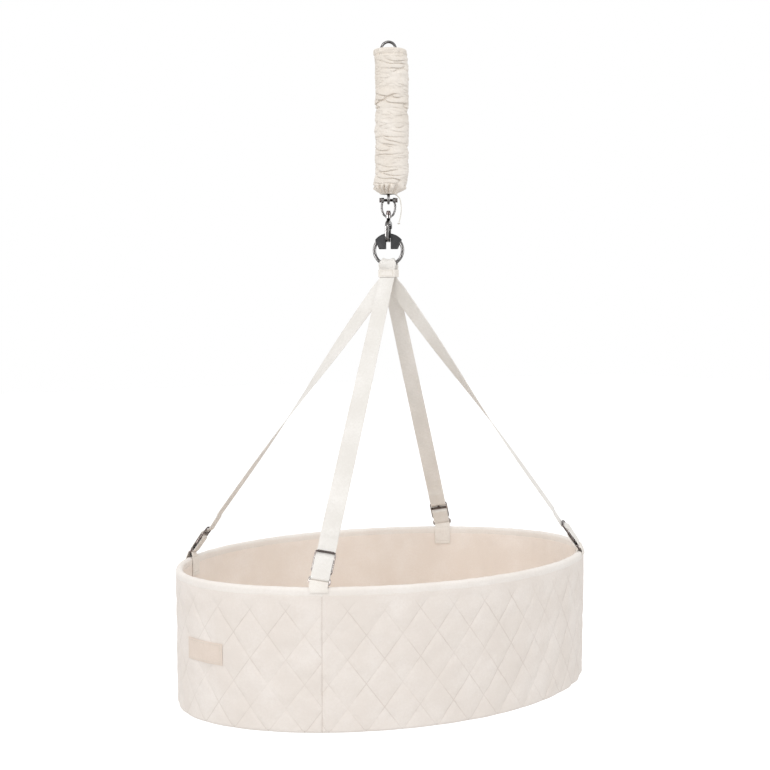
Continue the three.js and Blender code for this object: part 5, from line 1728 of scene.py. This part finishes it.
@dataclass
class SpringSleeve:
    """The gathered cotton sleeve over the spring, drawn in at its hem by a cord.

    A crease is given as its depth and its sharpness. Frills and pleats are given as their number round
    the sleeve, and the size and number of the wanders in their spacing. The cord's route is in
    millimetres to the right of the hem's middle, behind it and above it.
    """

    finishes: Finishes
    radius: float = 29 * MM
    mouth: float = 15.4 * MM
    shoulder: float = 2.5 * MM
    top_band: float = 10 * MM
    hem_radius: float = 12.6 * MM
    hem_curve: float = 1.7
    taper: float = 19 * MM
    fold_pitch: float = 12 * MM
    fold_depth: float = 3.6 * MM
    wide_creases: SoftWaves = SoftWaves(40.8 * MM, 1.0, 31, 3.6)
    wide_cut: tuple[float, float] = (1.2, 0.4)
    fine_creases: SoftWaves = SoftWaves(31.2 * MM, 1.0, 33, 4.4)
    fine_cut: tuple[float, float] = (0.35, 0.42)
    creased_patches: SoftWaves = SoftWaves(45 * MM, 0.6, 32, 1.3)
    bulges: SoftWaves = SoftWaves(36 * MM, 0.17, 34, 2.4)
    cord_groove: tuple[float, float] = (1.8 * MM, 1.6 * MM)
    frills: tuple[int, float, int] = (9, 1.6, 4)
    frill_depth: float = 1.5 * MM
    pleats: tuple[int, float, int] = (13, 2.2, 3)
    pleat_depth: float = 3.9 * MM
    droop: float = 0.8
    cloth: float = 0.9 * MM
    sway: float = 6 * MM
    cord_diameter: float = 1.8 * MM
    knot_radius: float = 2.3 * MM
    hanger_turn: float = -35.0
    cord_route: tuple[tuple[float, float, float], ...] = (
        (12.6, 0, -1.4), (15.6, -0.4, -2.8), (19.4, -0.8, -7), (21.6, -1, -14), (22.6, -1, -23),
        (22.4, -1, -32), (21, -0.6, -41), (18.8, 0, -49))

    @cached_property
    def heights(self) -> tuple[float, float]:
        """Returns the heights of the sleeve's hem and top."""
        low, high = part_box("spring_cover")
        return low[2], high[2]

    def build(self) -> None:
        """Builds the sleeve, then its cord and knot."""
        self.sleeve()
        self.drawcord()

    def relief(self, angle: Array, depth: Array, long: float) -> Array:
        """Returns how far the gathered cloth stands out from a plain tube.

        Args:
            angle: Places round the sleeve.
            depth: Distances below its top.
            long: The sleeve's length.

        Returns:
            Distances out from the tube: wide soft bulges, cut by short level creases.
        """
        around = np.stack((np.cos(angle) * self.radius, np.sin(angle) * self.radius, depth), -1)
        creased = np.clip(0.5 + self.creased_patches.on(around), 0, 1)
        cuts = [deep * np.exp(-(waves.on(around) / sharp) ** 2) for waves, (deep, sharp) in (
            (self.wide_creases, self.wide_cut), (self.fine_creases, self.fine_cut))]
        creases = cuts[0] * creased ** 2 + cuts[1] * (1 - creased)
        gathered = smooth_share(depth, self.top_band * 0.9, self.top_band * 1.5)
        drawn = smooth_share(depth, long - self.taper, long)
        body = self.fold_depth * (self.bulges.on(around) + 0.12 - creases) * gathered * (1 - 0.75 * drawn)
        groove, reach = self.cord_groove
        cord_line = np.exp(-((depth - self.top_band) / reach) ** 2) * groove
        count, wander, wanders = self.frills
        frill = np.sin(angle * count + wander * np.sin(angle * wanders)) * self.frill_depth * (1 - gathered)
        frill = frill * smooth_share(depth, 2 * MM, 7 * MM)
        count, wander, wanders = self.pleats
        pleats = np.sin(angle * count + wander * np.sin(angle * wanders + depth / self.fold_pitch))
        pleats = pleats * self.pleat_depth * smooth_share(drawn, 0.02, 0.4)
        return body + frill - cord_line + pleats * (1 - 0.35 * smooth_share(drawn, 0.85, 1.0))

    def sleeve(self) -> None:
        """Builds the sleeve: flat mouth, plain band, creased body and a drawn hem."""
        hem, top = self.heights
        long, shoulder = top - hem, self.shoulder
        sides = np.linspace(0.0, 2.0 * math.pi, 145)
        turn = np.linspace(0.0, math.pi / 2, 6)
        rows = [(self.mouth, 0.0), (0.5 * (self.mouth + self.radius), 0.0)]
        rows += [(self.radius - shoulder * (1 - math.sin(a)), shoulder * (1 - math.cos(a))) for a in turn]
        body = np.linspace(shoulder, long, 225)[1:]
        radius, drop = np.array(rows + [(self.radius, value) for value in body]).T
        angle, depth = np.meshgrid(sides, drop)
        base = np.repeat(radius[:, None], len(sides), 1)
        drawn = smooth_share(depth, long - self.taper, long)
        relief = self.relief(angle, depth, long) * smooth_share(depth, 0.0, 1.5 * MM)
        size = mix(base, self.hem_radius, drawn ** self.hem_curve) + relief
        hung = smooth_share(depth, self.top_band, 2 * self.top_band) * (1.0 - drawn)
        lattice = np.stack((np.cos(angle) * size, np.sin(angle) * size,
                            top - depth - self.droop * relief * hung), -1)
        lean = smooth_share(depth, -30 * MM, 40 * MM) * (1.0 - smooth_share(depth, long - 40 * MM, long))
        lattice = lattice + lean[..., None] * across(self.hanger_turn) * self.sway
        piece = thickened(skin("gathered_spring_sleeve", lattice, welded=True), self.cloth)
        finish_piece(smooth(piece, 80), self.finishes.sleeve, "hanger", "cotton", "spring_cover")
        piece.parent = None
        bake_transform(piece)

    def drawcord(self) -> None:
        """Builds the cord's loose end beside the shackle, and its knot."""
        front, right = facing(self.hanger_turn), across(self.hanger_turn)
        points = np.array([right * x - front * y + UP * z for x, y, z in self.cord_route]) * MM
        route = smooth_route(points + UP * self.heights[0], 60)
        cord = tube("sleeve_drawcord", route, self.cord_diameter / 2, sides=10)
        finish_piece(smooth(cord), self.finishes.cord, "spring_foot", "cord", "cover_drawcord")
        knot = self.knot(route[-1] - UP * (self.knot_radius + 0.3 * MM))

    def knot(self, centre: Array) -> Piece:
        """Builds the overhand knot at the cord's end.

        Args:
            centre: The knot's middle.

        Returns:
            The knot.
        """
        t = np.linspace(0.0, 2.0 * math.pi, 64, endpoint=False)
        loop = np.stack((np.sin(t) + 2 * np.sin(2 * t), np.cos(t) - 2 * np.cos(2 * t), -np.sin(3 * t)), -1)
        piece = tube("drawcord_overhand_knot", centre + loop * self.knot_radius / 3.6,
                     self.cord_diameter * 0.42, sides=10, closed=True)
        return finish_piece(smooth(piece), self.finishes.cord, "spring_foot", "cord", "drawcord_knot")


# Hardware

@dataclass(frozen=True)
class Fitting:
    """A rigid part of the frame that is shown through a finer copy: its node, its new name, body and slot."""

    node: str
    name: str
    body: str
    slot: str = "dark_steel"


@dataclass
class Hardware:
    """The metal, moulded and wooden parts, which keep the frame's own shapes."""

    finishes: Finishes
    webbing: HangingWebbing
    ring: RingSizes = field(default_factory=RingSizes)
    weld_turn: float = 200.0
    weld_reach: float = 0.05
    weld_proud: float = 0.05
    fittings: tuple[Fitting, ...] = (
        Fitting("upper_hook", "wire_ceiling_hook", "hanger", "bright_steel"),
        Fitting("lower_eye", "spring_foot_eye", "spring_foot", "bright_steel"),
        Fitting("shackle_bow", "forged_shackle_bow", "shackle", "bright_steel"),
        Fitting("shackle_pin", "shackle_cross_pin", "shackle"),
        Fitting("shackle_nut", "shackle_pin_nut", "shackle"),
        Fitting("swivel_head", "swivel_ball_and_neck", "swivel_hook"),
        Fitting("snap_hook_body", "cast_snap_hook", "swivel_hook", "bright_steel"),
        Fitting("hook_gate", "snap_hook_gate", "gate", "bright_steel"),
        Fitting("gate_pin", "gate_hinge_pin", "swivel_hook"),
        Fitting("ring_saddle", "moulded_ring_saddle", "ring", "grey_moulding"),
    )

    def build(self) -> None:
        """Builds the finer copies and the ring, and dresses the nodes that stay."""
        slots = {"dark_steel": self.finishes.dark_steel, "bright_steel": self.finishes.bright_steel,
                 "grey_moulding": self.finishes.nylon}
        for fitting in self.fittings:
            piece = merged_copy(fitting.name, fitting.node)
            finish_piece(piece, slots[fitting.slot], fitting.body, fitting.slot, fitting.node)
        for corner in map(self.webbing.corner, CORNER_NAMES):
            for kind, name in (("strap_slide", "toothed_slide"), ("rim_ring", "cast_rim_ring")):
                piece = merged_copy(f"{name}_{corner.name}", f"{kind}_{corner.name}")
                finish_piece(piece, self.finishes.dark_steel, "cradle", "dark_steel", f"{kind}_{corner.name}")
                self.paint_rail_reflections(piece, corner)
        self.hanging_ring()
        for name in ("spring_coil", "rim_hoop"):
            self.dress_node(name, self.finishes.spring_steel)
        self.dress_node("base_board", self.finishes.ply)

    def paint_rail_reflections(self, piece: Piece, corner: StrapCorner) -> None:
        """Gives the faces of a fitting's two side rails a pale steel: a painted reflection of the white
        studio, lighter than the bars.

        Args:
            piece: The slide or rim ring.
            corner: The strap's corner, whose bar direction crosses the rails.
        """
        inner = (self.webbing.webbing.width + self.webbing.webbing.bar_gap) / 2
        select_only(piece)
        bpy.ops.object.mode_set(mode="EDIT")
        for side in (-1, 1):
            bpy.ops.mesh.select_all(action="SELECT")
            bpy.ops.mesh.bisect(plane_co=corner.seat + corner.bar * inner * side, plane_no=corner.bar)
        bpy.ops.object.mode_set(mode="OBJECT")
        # Painted reflection: the rails' side faces take the pale steel, and the bars keep the dark one.
        piece.data.materials.append(self.finishes.rail_reflection_steel)
        for face in piece.data.polygons:
            aside = abs(float((np.array(face.center) - corner.seat) @ corner.bar))
            if aside > inner and abs(float(np.array(face.normal) @ corner.bar)) < 0.5:
                face.material_index = 1

    def hanging_ring(self) -> None:
        """Builds the welded ring, its joint a little proud at one side."""
        angles = np.linspace(0.0, 2.0 * math.pi, 144, endpoint=False)
        path = (across(self.ring.turn) * np.cos(angles)[:, None] + UP * np.sin(angles)[:, None])
        path = path * self.ring.mean_radius + UP * self.ring.centre_z
        weld = np.exp(-((angles - math.radians(self.weld_turn)) / self.weld_reach) ** 2)
        radius = self.ring.wire / 2 * (1 + self.weld_proud * weld)
        piece = tube("welded_hanging_ring", path, radius, sides=28, closed=True)
        finish_piece(smooth(piece, 60), self.finishes.bright_steel, "ring", "bright_steel", "hanging_ring")

    def dress_node(self, name: str, material: bpy.types.Material) -> None:
        """Puts a material on each slot of a node.

        Args:
            name: Name of the node.
            material: Its material.
        """
        node = bpy.data.objects[name]
        for slot in node.material_slots:
            slot.material = material
        LOG.info("%s dressed as %s", name, material.name)


# Studio

@dataclass
class Studio:
    """The white studio: floor, soft light and the camera of the photograph."""

    focal_length: float = 65.25
    sensor_width: float = 36.0
    camera_place: tuple[float, float, float] = (-1.4319, -2.0342, 0.4253)
    look_turn: float = 35.0
    look_down: float = 2.845
    floor_drop: float = 0.62
    floor_glow: float = 0.4
    sky: float = 0.95
    key_place: tuple[float, float, float] = (-2.0, -1.9, 1.3)
    key_aim: tuple[float, float, float] = (0.0, 0.0, -0.9)
    key_size: float = 0.9
    key_power: float = 24.0
    strip_size: tuple[float, float] = (0.5, 1.8)
    strip_rise: float = 0.6
    strips: tuple[tuple[float, float, float], ...] = ((-2.4, 0.0, 50.0), (1.0, -2.2, 34.0))

    def build(self, plan: BasketPlan) -> None:
        """Builds the camera, then the floor and the lights.

        Args:
            plan: The basket's plan, which gives the heights.
        """
        self.camera(plan)
        self.floor(plan)
        self.world()
        self.key_light()
        self.strip_lights(plan)
        bpy.context.scene.view_settings.view_transform = "Standard"

    def camera(self, plan: BasketPlan) -> None:
        """Adds the camera: its height is given above the rim.

        Args:
            plan: The basket's plan.
        """
        x, y, above = self.camera_place
        turn = (math.radians(90.0 - self.look_down), 0.0, math.radians(-self.look_turn))
        bpy.ops.object.camera_add(location=(x, y, plan.rim_z + above), rotation=turn)
        camera = bpy.context.object
        camera.data.lens = self.focal_length
        camera.data.sensor_width = self.sensor_width
        bpy.context.scene.camera = camera

    def floor(self, plan: BasketPlan) -> None:
        """Adds the pale floor, which shows white to the camera and keeps the cradle's shadow.

        Args:
            plan: The basket's plan.
        """
        bpy.ops.object.select_all(action="DESELECT")
        bpy.ops.mesh.primitive_plane_add(size=40.0, location=(0.0, 0.0, plan.base_z - self.floor_drop))
        ground = bpy.context.object
        ground.name = "studio_floor"
        material = bpy.data.materials.new("pale studio floor")
        material.use_nodes = True
        tree = material.node_tree
        shader = tree.nodes["Principled BSDF"]
        shader.inputs["Base Color"].default_value = hex_to_linear("#E6E6E6")
        shader.inputs["Roughness"].default_value = 0.9
        shader.inputs["Emission Color"].default_value = (1.0, 1.0, 1.0, 1.0)
        glow = add_node(tree, "ShaderNodeMath", {0: self.direct_rays(tree), 1: self.floor_glow},
                        operation="MULTIPLY")
        tree.links.new(glow.outputs[0], shader.inputs["Emission Strength"])
        dress(ground, material)

    def direct_rays(self, tree: bpy.types.NodeTree) -> bpy.types.Node:
        """Tells apart the rays that show a thing from those that only light others.

        Args:
            tree: The tree of a material or of the world.

        Returns:
            A node that gives one for camera, glossy and transmission rays.
        """
        rays = add_node(tree, "ShaderNodeLightPath").outputs
        first = add_node(tree, "ShaderNodeMath", {0: rays["Is Camera Ray"], 1: rays["Is Glossy Ray"]},
                         operation="MAXIMUM")
        return add_node(tree, "ShaderNodeMath", {0: first, 1: rays["Is Transmission Ray"]},
                        operation="MAXIMUM")

    def world(self) -> None:
        """Sets a white world that lights softly and shows white to the camera."""
        world = bpy.data.worlds.new("studio sky")
        bpy.context.scene.world = world
        world.use_nodes = True
        tree = world.node_tree
        background = tree.nodes["Background"]
        background.inputs["Color"].default_value = (1.0, 1.0, 1.0, 1.0)
        strength = add_node(tree, "ShaderNodeMath",
                            {0: self.direct_rays(tree), 1: 1.0 - self.sky, 2: self.sky},
                            operation="MULTIPLY_ADD")
        tree.links.new(strength.outputs[0], background.inputs["Strength"])

    def area_light(self, place: tuple[float, float, float], aim: Vector) -> Piece:
        """Adds a lamp.

        Args:
            place: Its place.
            aim: Direction of its light.

        Returns:
            The lamp.
        """
        turn = aim.to_track_quat("-Z", "Y").to_euler()
        bpy.ops.object.light_add(type="AREA", location=place, rotation=turn)
        return bpy.context.object

    def key_light(self) -> None:
        """Adds the large soft key light, high on the left."""
        lamp = self.area_light(self.key_place, Vector(self.key_aim) - Vector(self.key_place))
        lamp.data.shape = "DISK"
        lamp.data.size = self.key_size
        lamp.data.energy = self.key_power

    def strip_lights(self, plan: BasketPlan) -> None:
        """Adds two tall soft boxes beside the camera, which only polished surfaces show.

        Args:
            plan: The basket's plan.
        """
        for x, y, power in self.strips:
            box = self.area_light((x, y, plan.rim_z + self.strip_rise), Vector((-x, -y, 0.0)))
            box.data.shape = "RECTANGLE"
            box.data.size, box.data.size_y = self.strip_size
            box.data.energy = power
            box.visible_camera = False
            box.visible_diffuse = False


def main() -> None:
    """Builds the studio and its camera, the sleeve and its cord, the webbing, the basket and the hardware."""
    logging.basicConfig(level=logging.INFO, format="%(name)s: %(message)s")
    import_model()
    finishes = Finishes()
    Studio().build(BasketPlan())
    SpringSleeve(finishes).build()
    webbing = HangingWebbing(finishes)
    webbing.build()
    QuiltedBasket(finishes).build()
    Hardware(finishes, webbing).build()


if __name__ == "__main__":
    main()
